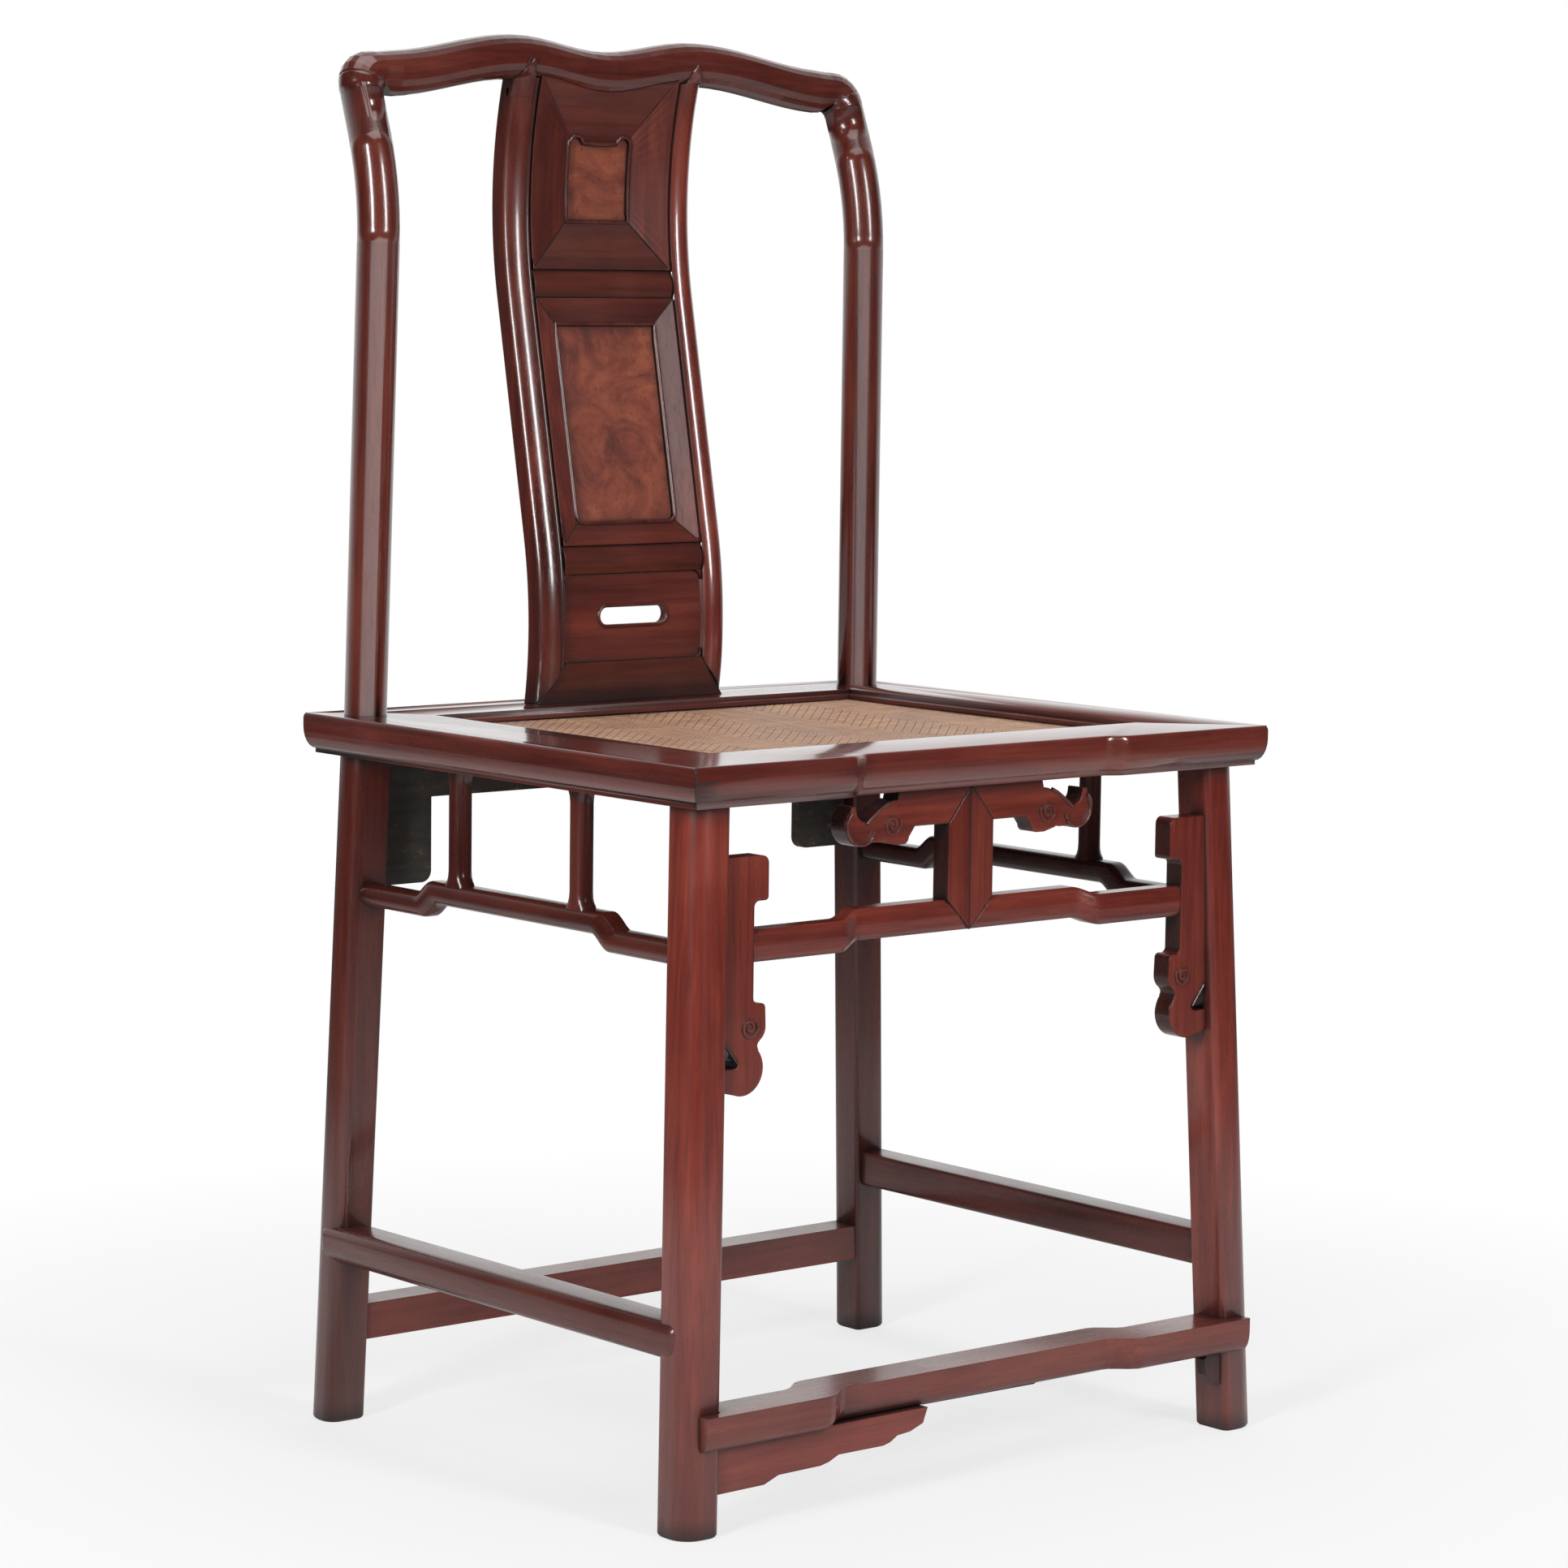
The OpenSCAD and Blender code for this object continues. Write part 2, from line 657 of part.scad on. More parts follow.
// Flat-sided piece between two heights
module back_board(x0, x1, front, back, z0, z1, n) {
    along_back([[x0, -front], [x1, -front], [x1, back], [x0, back]],
               [z0, z0, z0, z0], [z1, z1, z1, z1], n);
}

splat_x = splat_w / 2;
splat_in = splat_x - stile_w;
bottom_rail_top = seat_h + foot_rail_h;
middle_rail_low = bottom_rail_top + lower_h;
middle_rail_top = middle_rail_low + cross_h;
upper_burl_top = crest_z - upper_burl_drop;
upper_burl_low = upper_burl_top - upper_burl_h;
upper_rail_top = upper_burl_low - (splat_in - upper_burl_w / 2);
upper_rail_low = upper_rail_top - cross_h;
middle_burl_low = middle_rail_top + splat_in - middle_burl_w / 2 - 2;
middle_burl_top = upper_rail_low - (splat_in - middle_burl_w / 2) - 1;

// Stile section: a round with a bead on its inner side, flat behind. The left one is drawn.
bead_w = 5.5;
stile_section = concat(
    [[-splat_x, stile_t / 2 - 2], [-splat_x, 0]],
    [for (a = [165:-30:45]) let (w = (stile_w - bead_w) / 2)
        [-splat_x + w + w * cos(a), -stile_t / 2 * sin(a)]],
    [[-splat_in - bead_w, -stile_t / 2 + 4.5]],
    [for (a = [135:-45:0]) [-splat_in - bead_w / 2 + bead_w / 2 * cos(a),
                            -stile_t / 2 + 4.5 - 3 * sin(a)]],
    [[-splat_in, stile_t / 2 - 2], [-splat_in - 2, stile_t / 2], [-splat_x + 2, stile_t / 2]]);

module stile_shape() {
    lows = [for (p = stile_section) seat_h + foot_rail_h * (p[0] + splat_x) / stile_w];
    highs = [for (p = stile_section) crest_reach];
    color(polished) difference() {
        along_back(stile_section, lows, highs, 26);
        crest_cutter();
    }
}

// Bottom rail of the splat, mitred into the feet of the stiles
module bottom_rail_shape() {
    top = bottom_rail_top;
    n = 3;
    t = 8;
    loft([for (j = [0:n])
        let (z = seat_h + foot_rail_h * j / n, x = splat_x - stile_w * j / n)
        [[-x, back_y(z) - t, z], [x, back_y(z) - t, z], [x, back_y(z) + t, z],
         [-x, back_y(z) + t, z]]]);
}

// Cross rail of the splat with a rounded front, between the stiles
module cross_rail(low, top) {
    n = 8;
    back = 8;
    section = concat(
        [for (i = [0:n]) let (z = low + (top - low) * i / n)
            [back_y(z) - (cross_t - back) + 3 * (1 - sin(180 * i / n)), z]],
        [[back_y(top) + back, top], [back_y(low) + back, low]]);
    loft([for (x = [-splat_in, splat_in]) [for (p = section) [x, p[0], p[1]]]]);
}

// Framed panel: two mitred cross members and two mitred side members around an opening
function frame_front(outer) = outer ? panel_t - 3.5 : panel_lip - 3.5;

module cross_member(x_out, x_in, z_out, z_in, more = 0) {
    n = 4;
    back = 3.5;
    sloped = [for (j = [0:n])
        let (t = j / n, z = z_out + (z_in - z_out) * t, x = x_out + (x_in - x_out) * t)
        [x, z, frame_front(true) + (frame_front(false) - frame_front(true)) * t]];
    marks = more == 0 ? sloped : concat(sloped, [[x_in, z_in - more, frame_front(false)]]);
    rings = [for (m = marks)
        [[-m[0], back_y(m[1]) - m[2], m[1]], [m[0], back_y(m[1]) - m[2], m[1]],
         [m[0], back_y(m[1]) + back, m[1]], [-m[0], back_y(m[1]) + back, m[1]]]];
    loft(z_in > z_out ? rings : [for (j = [len(rings) - 1:-1:0]) rings[j]]);
}

module side_member(x_out, x_in, z_out, z_in, n) {
    back = 3.5;
    along_back(
        [[-x_out, -frame_front(true)], [-x_in, -frame_front(false)], [-x_in, back], [-x_out, back]],
        [z_out[0], z_in[0], z_in[0], z_out[0]],
        [z_out[1], z_in[1], z_in[1], z_out[1]], n);
}

// Opening of the upper burl panel, with a lobe at each end of its top
burl_lobe = 6.5;
burl_dip = 5;
module upper_opening() {
    w = upper_burl_w / 2;
    z = upper_burl_low;
    translate([0, big / 2, 0]) rotate([90, 0, 0]) linear_extrude(big) union() {
        translate([-w, z]) square([2 * w, upper_burl_top - burl_lobe - z]);
        translate([burl_lobe - w, z]) square([2 * w - 2 * burl_lobe, upper_burl_top - burl_dip - z]);
        for (s = [-1, 1]) translate([s * (w - burl_lobe + hair), upper_burl_top - burl_lobe])
            circle(burl_lobe, $fn = 40);
    }
}

upper_frame_high = crest_z + 4.5;

// Side rails: humped bars between the legs, under the seat
side_rail_profile = edge_profile(side_rail_d, side_rail_h, 7, 5, 0);
side_rail_step = 102;
side_rail_low_step = 92;
module left_side_rail_shape() {
    color(polished) difference() {
        translate([-side_rail_x - side_rail_d / 2, 0, side_rail_z]) rotate([0, 0, -90])
            stepped_bar(side_rail_profile, -rear_y_at(side_rail_mid), front_y_at(side_rail_mid),
                        0, side_rise, side_rail_step, 18, side_rail_step - side_rail_low_step);
        difference() {
            front_leg_blank();
            side_rail_stub(side_rail_front, -1);
        }
        difference() {
            rear_leg_blank();
            side_rail_stub(side_rail_rear, 1);
        }
        for (s = [-1, 1]) strut_tenon(s);
    }
}

// Strut between a side rail and the seat, with flared ends and stub tenons
strut_low = side_rail_z + side_rail_h + side_rise;
strut_stub = 6;
strut_flare = 3;
module strut_tenon(s) {
    translate([-side_rail_x - 3, s * strut_at - 3, strut_low - strut_stub])
        cube([6, 6, strut_stub + 2]);
}

module strut_head(s) {
    translate([-side_rail_x - 3, s * strut_at - 3, seat_low - 2]) cube([6, 6, strut_stub + 2]);
}

module strut_shape(s) {
    h = seat_low - strut_low;
    w = strut_w / 2;
    flare = 8;
    levels = [[0, strut_flare], [flare / 2, strut_flare / 4], [flare, 0],
              [h - flare, 0], [h - flare / 2, strut_flare / 4], [h, strut_flare]];
    color(polished) {
        translate([-side_rail_x, s * strut_at, strut_low])
            loft([for (l = levels) let (e = l[1])
                [for (p = [[-w, w - 3], [-w - 1, 0], [-w, -w + 3], [-w + 3, -w - e], [w, -w - e],
                           [w, w + e], [-w + 3, w + e]]) [p[0], p[1], l[0]]]]);
        strut_tenon(s);
        strut_head(s);
    }
}

// Front apron: a lower rail, two uprights and two scrolled arms, hung from end brackets
apron_front = -front_y_at(seat_low - 60) - leg_half + 4;
apron_mid_front = apron_front + apron_step;
rail_top_mid = apron_rail_z + apron_rise + apron_rail_h;
rail_low_mid = apron_rail_z + apron_rise;
arm_low = seat_low - arm_h;
apron_run = 20;

// Edge of the bracket at height z: it leans with the leg's inner face
function leg_inner_x(z) = leg_x_at(z) - leg_half / cos(atan(splay_side / seat_h));
bracket_in = leg_inner_x(seat_low - 60) - bracket_w;

// Piece of the left half cut from a slab, from an outline drawn for positive x
module apron_slab(front) {
    translate([0, front + apron_t, 0]) rotate([90, 0, 0]) linear_extrude(apron_t)
        mirror([1, 0]) children();
}

apron_profile = concat(
    [[2.5, 0], [apron_t, 0], [apron_t, apron_rail_h], [2.5, apron_rail_h]],
    [[0.6, apron_rail_h - 3], [0, apron_rail_h / 2], [0.6, 3]]);

module apron_rail_shape() {
    n = len(apron_profile);
    xs = stations(-bracket_in, -upright_w, apron_step_at, apron_run);
    rings = concat(
        [for (x = xs) [for (p = apron_profile)
            let (s = stepped(x, apron_step_at, apron_run))
            [x, p[0] + apron_step * s, p[1] + apron_rise * s]]],
        [[for (p = apron_profile)
            [-upright_w * p[1] / apron_rail_h, p[0] + apron_step, p[1] + apron_rise]]]);
    color(polished) translate([0, apron_front, apron_rail_z])
        loft([for (r = rings) r]);
}

module upright_outline() {
    polygon([[0, rail_low_mid], [0, seat_low], [upright_w, arm_low], [upright_w, rail_top_mid]]);
}

// Scrolled arm, drawn for positive x: a dragon's head turned back, with a jaw and a curl
eye = [68.5, seat_low - 22.5];
eye_r = 8.5;
curl = [94.5, seat_low - 21.5];
curl_r = 13.5;
module arm_outline() {
    polygon(concat(
        [[0, seat_low], [upright_w, arm_low], [eye[0] - 19.5, arm_low]],
        arc([eye[0] - 10, eye[1] - 8.7], 4.4, 180, 260, 5),
        [[eye[0] - 3.5, eye[1] - 13.1]],
        arc([eye[0] + 8, eye[1] - 14], 4, 125, 60, 4),
        arc(curl, curl_r, 236, 406, 18),
        [[curl[0] + 8.5, curl[1] + 12.8], [curl[0] + 6, curl[1] + 13]],
        arc([curl[0] - 4.5, curl[1] + 11.5], 9.5, 5, -95, 9),
        [[curl[0] - 15, curl[1] + 9.6]],
        arc([eye[0] - 2, seat_low - 13], 6.5, 60, 110, 4),
        [[eye[0] - 6, seat_low]]));
}

// Raised spiral of an eye of the carving
module eye_spiral(c, r, front) {
    n = 30;
    width = 1.7;
    function turn(k, less) = let (a = 150 + 560 * k / n, q = r * (1 - 0.74 * k / n) - less)
        [q * cos(a), q * sin(a)];
    translate([c[0], front + 1, c[1]]) rotate([90, 0, 0]) linear_extrude(1.9)
        polygon([for (k = [0:n]) turn(k, 0), for (k = [n:-1:0]) turn(k, width)]);
}

// Raised rim along part of a curl
module rim(c, r, from, to, front) {
    translate([c[0], front + 1, c[1]]) rotate([90, 0, 0]) linear_extrude(1.9)
        polygon(concat(arc([0, 0], r, from, to, 20), arc([0, 0], r - 2.2, to, from, 20)));
}

// End bracket of a leg, drawn for positive x: a square hook above, a bar, a lobe with an
// eye, and a tail that curls back to the leg around a small hollow
bracket_top = seat_low - 33.5;
hook_low = seat_low - 62;
hook_reach = 11.5;
lobe = [bracket_in, seat_low - 142];
lobe_r = 10.3;
lobe_top = seat_low - 127;
tail_r = 17;
tail = [bracket_in + 8.5, seat_low - 168];
hollow = [tail[0] + 7, tail[1] + 4.5];
module bracket_outline() {
    tip = bracket_in - hook_reach;
    hollow_top = hollow[1] + 15.5;
    low = tail[1] - 13;
    polygon(concat(
        [[leg_inner_x(bracket_top), bracket_top]],
        arc([tip + 5, bracket_top - 5], 5, 90, 180, 6),
        arc([tip + 2.5, hook_low + 2.5], 2.5, 180, 270, 4),
        arc([bracket_in - 4, hook_low - 4], 4, 90, 0, 5),
        arc([bracket_in - 3.5, lobe_top + 3.5], 3.5, 0, -90, 4),
        arc([lobe[0] - 6.4, lobe_top - 3.5], 3.5, 90, 165, 4),
        arc(lobe, lobe_r, 175, 238, 6),
        arc([lobe[0] - 7.2, lobe[1] - 12], 3.5, 60, -50, 5),
        arc(tail, tail_r, 138, 292, 14),
        [[leg_inner_x(low), low], [leg_inner_x(hollow[1] - 3.5), hollow[1] - 3.5]],
        arc(hollow, 3.5, 270, 130, 6),
        [[leg_inner_x(hollow_top), hollow_top]]));
}

// Rear apron: a board under the seat and a drop against each leg
rear_apron_front = leg_y - 1;
module rear_slab() {
    translate([0, rear_apron_front + rear_apron_t, 0]) rotate([90, 0, 0])
        linear_extrude(rear_apron_t) children();
}

rear_board_z = seat_low - rear_board_h;
drop_corner = 8;
module rear_drop_outline() {
    z1 = rear_board_z;
    outer1 = -leg_inner_x(z1);
    outer0 = -leg_inner_x(drop_z);
    inner = outer1 + drop_w;
    difference() {
        polygon([[outer1, z1], [outer0, drop_z], [inner, drop_z], [inner, z1]]);
        translate([inner, drop_z]) rotate(90) rounded_corner(drop_corner);
    }
}

// Stretchers near the floor
foot_bar_front = -front_y_at(foot_tenon_z) - leg_half - 8;
foot_profile = edge_profile(foot_bar_d, foot_bar_h, 9, 6, 0);
foot_run = 22;
module front_foot_shape() {
    far = leg_x_at(foot_tenon_z) + 3;
    color(polished) difference() {
        translate([0, foot_bar_front, foot_bar_z - foot_bar_h])
            stepped_bar(foot_profile, -far, far, foot_bar_step, 0, foot_bar_step_at, foot_run,
                        0, 12);
        for (s = [0, 1]) mirror([s, 0, 0]) difference() {
            front_leg_blank();
            front_foot_tenon();
        }
    }
}

bar_profile = edge_profile(bar_w, bar_h, 10, 6, 0);
module rear_stretcher_shape() {
    far = leg_x_at(rear_tenon_z) + 3;
    y = rear_y_at(rear_tenon_z) + bar_w / 2;
    color(polished) difference() {
        translate([0, y, rear_bar_z - bar_h]) mirror([0, 1, 0]) rotate([90, 0, 90])
            translate([0, 0, -far]) linear_extrude(2 * far) polygon(bar_profile);
        for (s = [0, 1]) mirror([s, 0, 0]) difference() {
            rear_leg_blank();
            rear_foot_tenon();
        }
    }
}

module left_stretcher_shape() {
    near = front_y_at(side_tenon_z) + 3;
    far = rear_y_at(side_tenon_z) + 3;
    x = leg_x_at(side_tenon_z) + leg_half + 1.5;
    color(polished) difference() {
        translate([-x, 0, side_bar_z - bar_h]) rotate([0, 0, -90]) rotate([90, 0, 90])
            translate([0, 0, -far]) linear_extrude(near + far)
            polygon(edge_profile(bar_w + 2, bar_h, 10, 6, 0));
        difference() {
            front_leg_blank();
            side_tenon_front();
        }
        difference() {
            rear_leg_blank();
            side_tenon_rear();
        }
    }
}

// Broken apron under the foot stretcher: the stepped part that is left, and two remnants
foot_apron_front = foot_bar_front + 11;
foot_apron_top = foot_bar_z - foot_bar_h;
foot_apron_low = foot_apron_top - foot_apron_deep;
module foot_slab() {
    translate([0, foot_apron_front + foot_apron_t, 0]) rotate([90, 0, 0])
        linear_extrude(foot_apron_t) children();
}

module foot_apron_outline() {
    side = leg_inner_x(foot_apron_low);
    low = foot_apron_low;
    polygon([[-leg_inner_x(foot_apron_top), foot_apron_top], [-side, low], [39 - side, low + 0.5],
             [43 - side, low + 2], [51 - side, low + 5], [86 - side, low + 5.5],
             [93 - side, low + 7], [101 - side, low + 10.5], [139 - side, low + 10.5],
             [145 - side, low + 12], [151 - side, low + 15.5], [162 - side, low + 16.5],
             [173 - side, low + 20.5], [177 - side, foot_apron_top]]);
}

// Nodes
module front_left_leg() { front_left_leg_shape(); }
module front_right_leg() { mirror([1, 0, 0]) front_left_leg_shape(); }
module rear_left_leg_and_post() { rear_left_leg_shape(); }
module rear_right_leg_and_post() { mirror([1, 0, 0]) rear_left_leg_shape(); }

module seat_front_rail() {
    color(polished) difference() {
        front_rail_shape();
        seat_corner_cuts();
        batten_holes();
    }
}

module seat_rear_rail() {
    color(polished) difference() {
        translate([0, seat_y, seat_low]) rotate([0, 0, 180]) straight_rail_shape(seat_w);
        seat_corner_cuts();
        batten_holes();
    }
}

module seat_left_rail() {
    color(polished) difference() {
        translate([-seat_x, 0, seat_low]) rotate([0, 0, -90]) straight_rail_shape(seat_d);
        seat_corner_cuts();
        for (s = [-1, 1]) strut_head(s);
    }
}

module seat_right_rail() { mirror([1, 0, 0]) seat_left_rail(); }
module left_batten() { color(dark_wood) translate([-batten_at, 0, 0]) batten_shape(); }
module right_batten() { color(dark_wood) translate([batten_at, 0, 0]) batten_shape(); }
module palm_webbing() { color(palm_brown) sagging_sheet(ledge_z, webbing_t); }
module cane_seat() { color(cane_tan) sagging_sheet(cane_z, cane_t); }

module cane_strip_front() {
    color(polished) translate([0, -hole_y, strip_z]) cane_strip_shape(2 * hole_x);
}

module cane_strip_rear() { mirror([0, 1, 0]) cane_strip_front(); }

module cane_strip_left() {
    color(polished) translate([-hole_x, 0, strip_z]) rotate([0, 0, -90])
        cane_strip_shape(2 * hole_y);
}

module cane_strip_right() { mirror([1, 0, 0]) cane_strip_left(); }

module crest_rail() {
    color(polished) difference() {
        whole_crest();
        below_mitre();
        mirror([1, 0, 0]) below_mitre();
    }
}

module splat_left_stile() { stile_shape(); }
module splat_right_stile() { mirror([1, 0, 0]) stile_shape(); }

module splat_upper_rail() {
    color(polished) cross_rail(upper_rail_low, upper_rail_top);
}

module splat_middle_rail() {
    color(polished) cross_rail(middle_rail_low, middle_rail_top);
}

module splat_bottom_rail() { color(polished) bottom_rail_shape(); }

module upper_frame_top() {
    color(polished) difference() {
        cross_member(splat_in, upper_burl_w / 2, upper_frame_high, upper_burl_top, 9);
        upper_opening();
        crest_cutter();
    }
}

module upper_frame_bottom() {
    color(polished) cross_member(splat_in, upper_burl_w / 2, upper_rail_top, upper_burl_low);
}

module upper_frame_left() {
    color(polished) difference() {
        side_member(splat_in, upper_burl_w / 2, [upper_rail_top, upper_frame_high],
                    [upper_burl_low, upper_burl_top], 14);
        crest_cutter();
    }
}

module upper_frame_right() { mirror([1, 0, 0]) upper_frame_left(); }

module middle_frame_top() {
    color(polished)
        cross_member(splat_in, middle_burl_w / 2, upper_rail_low, middle_burl_top);
}

module middle_frame_bottom() {
    color(polished)
        cross_member(splat_in, middle_burl_w / 2, middle_rail_top, middle_burl_low);
}

module middle_frame_left() {
    color(polished)
        side_member(splat_in, middle_burl_w / 2, [middle_rail_top, upper_rail_low],
                    [middle_burl_low, middle_burl_top], 18);
}

module middle_frame_right() { mirror([1, 0, 0]) middle_frame_left(); }

module upper_burl_panel() {
    w = upper_burl_w / 2;
    color(burl_wood) intersection() {
        back_board(-w, w, frame_front(false) - burl_sink, 3.5, upper_burl_low, upper_burl_top, 6);
        upper_opening();
    }
}

module middle_burl_panel() {
    w = middle_burl_w / 2;
    color(burl_wood)
        back_board(-w, w, frame_front(false) - burl_sink, 3.5, middle_burl_low, middle_burl_top, 10);
}

module lower_splat_panel() {
    slot_z = bottom_rail_top + lower_h / 2 + 1;
    color(polished) difference() {
        back_board(-splat_in, splat_in, 4.5, 1.5, bottom_rail_top, middle_rail_low, 6);
        translate([0, big / 2, slot_z]) rotate([90, 0, 0]) linear_extrude(big) union() {
            square([slot_w - slot_h, slot_h], center = true);
            for (s = [-1, 1]) translate([s * (slot_w - slot_h) / 2, 0])
                circle(d = slot_h, $fn = 40);
        }
    }
}

module left_side_rail() { left_side_rail_shape(); }
module right_side_rail() { mirror([1, 0, 0]) left_side_rail_shape(); }
module left_front_strut() { strut_shape(-1); }
module left_rear_strut() { strut_shape(1); }
module right_front_strut() { mirror([1, 0, 0]) strut_shape(-1); }
module right_rear_strut() { mirror([1, 0, 0]) strut_shape(1); }

module apron_rail_left() { apron_rail_shape(); }
module apron_rail_right() { mirror([1, 0, 0]) apron_rail_shape(); }
module apron_upright_left() { color(polished) apron_slab(apron_mid_front) upright_outline(); }
module apron_upright_right() { mirror([1, 0, 0]) apron_upright_left(); }

module apron_arm_left() {
    color(polished) {
        apron_slab(apron_mid_front) arm_outline();
        mirror([1, 0, 0]) {
            eye_spiral(eye, eye_r, apron_mid_front);
            rim(curl, curl_r - 1, 200, 395, apron_mid_front);
        }
    }
}

module apron_arm_right() { mirror([1, 0, 0]) apron_arm_left(); }

module apron_bracket_left() {
    color(polished) {
        apron_slab(apron_front) bracket_outline();
        mirror([1, 0, 0]) eye_spiral([lobe[0] + 3, lobe[1]], 8, apron_front);
    }
}

module apron_bracket_right() { mirror([1, 0, 0]) apron_bracket_left(); }

module rear_apron() {
    half = leg_inner_x(seat_low);
    low_half = leg_inner_x(rear_board_z);
    color(unpolished) rear_slab()
        polygon([[-half, seat_low], [-low_half, rear_board_z], [low_half, rear_board_z],
                 [half, seat_low]]);
}

module rear_drop_left() { color(unpolished) rear_slab() rear_drop_outline(); }
module rear_drop_right() { mirror([1, 0, 0]) rear_drop_left(); }
module front_foot_stretcher() { front_foot_shape(); }
module rear_stretcher() { rear_stretcher_shape(); }
module left_stretcher() { left_stretcher_shape(); }
module right_stretcher() { mirror([1, 0, 0]) left_stretcher_shape(); }
module foot_apron_left_part() { color(polished) foot_slab() foot_apron_outline(); }

module foot_apron_thin_part() {
    color(dark_wood) translate([0, foot_bar_step, 0]) foot_slab()
        polygon([[-44, foot_apron_top], [-40, foot_apron_top - 2], [60, foot_apron_top - 2.5],
                 [66, foot_apron_top]]);
}

module foot_apron_right_stub() {
    low = foot_apron_low + 7;
    x1 = leg_inner_x(foot_apron_top);
    x0 = leg_inner_x(low);
    color(dark_wood) foot_slab()
        polygon([[x1, foot_apron_top], [x0, low], [x0 - 8, low + 1], [x0 - 14, low + 8],
                 [x1 - 15, low + 19], [x1 - 11, foot_apron_top]]);
}

front_left_leg();
front_right_leg();
rear_left_leg_and_post();
rear_right_leg_and_post();
seat_front_rail();
seat_rear_rail();
seat_left_rail();
seat_right_rail();
left_batten();
right_batten();
palm_webbing();
cane_seat();
cane_strip_front();
cane_strip_rear();
cane_strip_left();
cane_strip_right();
crest_rail();
splat_left_stile();
splat_right_stile();
splat_upper_rail();
splat_middle_rail();
splat_bottom_rail();
upper_frame_top();
upper_frame_bottom();
upper_frame_left();
upper_frame_right();
middle_frame_top();
middle_frame_bottom();
middle_frame_left();
middle_frame_right();
upper_burl_panel();
middle_burl_panel();
lower_splat_panel();
left_side_rail();
right_side_rail();
left_front_strut();
left_rear_strut();
right_front_strut();
right_rear_strut();
apron_rail_left();
apron_rail_right();
apron_upright_left();
apron_upright_right();
apron_arm_left();
apron_arm_right();
apron_bracket_left();
apron_bracket_right();
rear_apron();
rear_drop_left();
rear_drop_right();
front_foot_stretcher();
rear_stretcher();
left_stretcher();
right_stretcher();
foot_apron_left_part();
foot_apron_thin_part();
foot_apron_right_stub();
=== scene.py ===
"""Dresses the lamp-hanger chair: polished hardwood, burl panels, cane mat and palm webbing."""

import math
from functools import partial

import bmesh
import bpy
from mathutils import Matrix, Vector


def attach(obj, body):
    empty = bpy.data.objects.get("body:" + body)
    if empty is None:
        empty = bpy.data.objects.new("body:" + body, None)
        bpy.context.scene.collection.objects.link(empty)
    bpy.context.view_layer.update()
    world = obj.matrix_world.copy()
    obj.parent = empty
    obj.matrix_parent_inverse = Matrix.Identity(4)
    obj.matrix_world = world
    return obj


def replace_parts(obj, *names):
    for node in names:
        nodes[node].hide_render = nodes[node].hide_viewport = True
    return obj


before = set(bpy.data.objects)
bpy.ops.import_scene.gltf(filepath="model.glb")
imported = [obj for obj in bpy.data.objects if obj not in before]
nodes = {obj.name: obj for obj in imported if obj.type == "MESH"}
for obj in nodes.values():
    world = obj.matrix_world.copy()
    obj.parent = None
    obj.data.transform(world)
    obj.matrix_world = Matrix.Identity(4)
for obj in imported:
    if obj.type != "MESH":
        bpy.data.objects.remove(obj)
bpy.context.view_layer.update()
scene = bpy.context.scene
link = scene.collection.objects.link

# Sizes that the chair's parts share, in metres
SEAT_TOP = 0.487
SEAT_HALF_WIDTH, SEAT_HALF_DEPTH = 0.250, 0.213
HOLE_HALF_X, HOLE_HALF_Y = 0.186, 0.149
CANE_TOP, CANE_SAG = 0.481, 0.005
WEBBING_TOP = 0.479
SIDES = ((-1, "left"), (1, "right"))

# Heights and half widths of the splat's rails, frames and openings
STILE_OUT, FRAME_HALF = 0.0825, 0.061
BOTTOM_RAIL_TOP, LOWER_PANEL_TOP, MIDDLE_RAIL_TOP = 0.515, 0.577, 0.597
MIDDLE_FRAME_TOP, UPPER_RAIL_TOP = 0.769, 0.789
MIDDLE_HALF, MIDDLE_LOW, MIDDLE_HIGH = 0.044, 0.612, 0.751
UPPER_HALF, UPPER_LOW = 0.0275, 0.8225


# ---------------- shader helpers
def wire(tree, node, inputs):
    """Sets a node's sockets by name or number, each to a value or to another node's socket."""
    for key, value in inputs.items():
        socket = node.inputs[key]
        if isinstance(value, bpy.types.NodeSocket):
            tree.links.new(value, socket)
        else:
            socket.default_value = value


def add(tree, kind, inputs=None, **settings):
    """A new node of a tree, with its settings and its sockets."""
    made = tree.nodes.new(kind)
    for key, value in settings.items():
        setattr(made, key, value)
    wire(tree, made, inputs or {})
    return made


def maths(tree, operation, a, b=0.0, c=0.0):
    """One sum of a tree, shader or geometry alike."""
    return add(tree, "ShaderNodeMath", {0: a, 1: b, 2: c}, operation=operation).outputs[0]


def weighted(tree, *parts):
    """Sum of (value, share) pairs, each value times its share."""
    (value, share), rest = parts[0], parts[1:]
    own = maths(tree, "MULTIPLY", value, share)
    return maths(tree, "ADD", own, weighted(tree, *rest)) if rest else own


def ramp(tree, factor, stops):
    """Colour ramp with (place, (r, g, b)) stops."""
    made = add(tree, "ShaderNodeValToRGB", {0: factor})
    band = made.color_ramp
    while len(band.elements) < len(stops):
        band.elements.new(0.5)
    for element, (place, colour) in zip(band.elements, stops):
        element.position = place
        element.color = (*colour, 1.0)
    return made.outputs[0]


def mixed(tree, factor, a, b):
    """Colour between a and b."""
    return add(tree, "ShaderNodeMix", {0: factor, 6: a, 7: b}, data_type="RGBA").outputs[2]


def noise(tree, where, scale, detail=4.0, roughness=0.55, distortion=0.0):
    """Noise of a place."""
    look = {"Scale": scale, "Detail": detail, "Roughness": roughness, "Distortion": distortion}
    return add(tree, "ShaderNodeTexNoise", {"Vector": where, **look}).outputs[0]


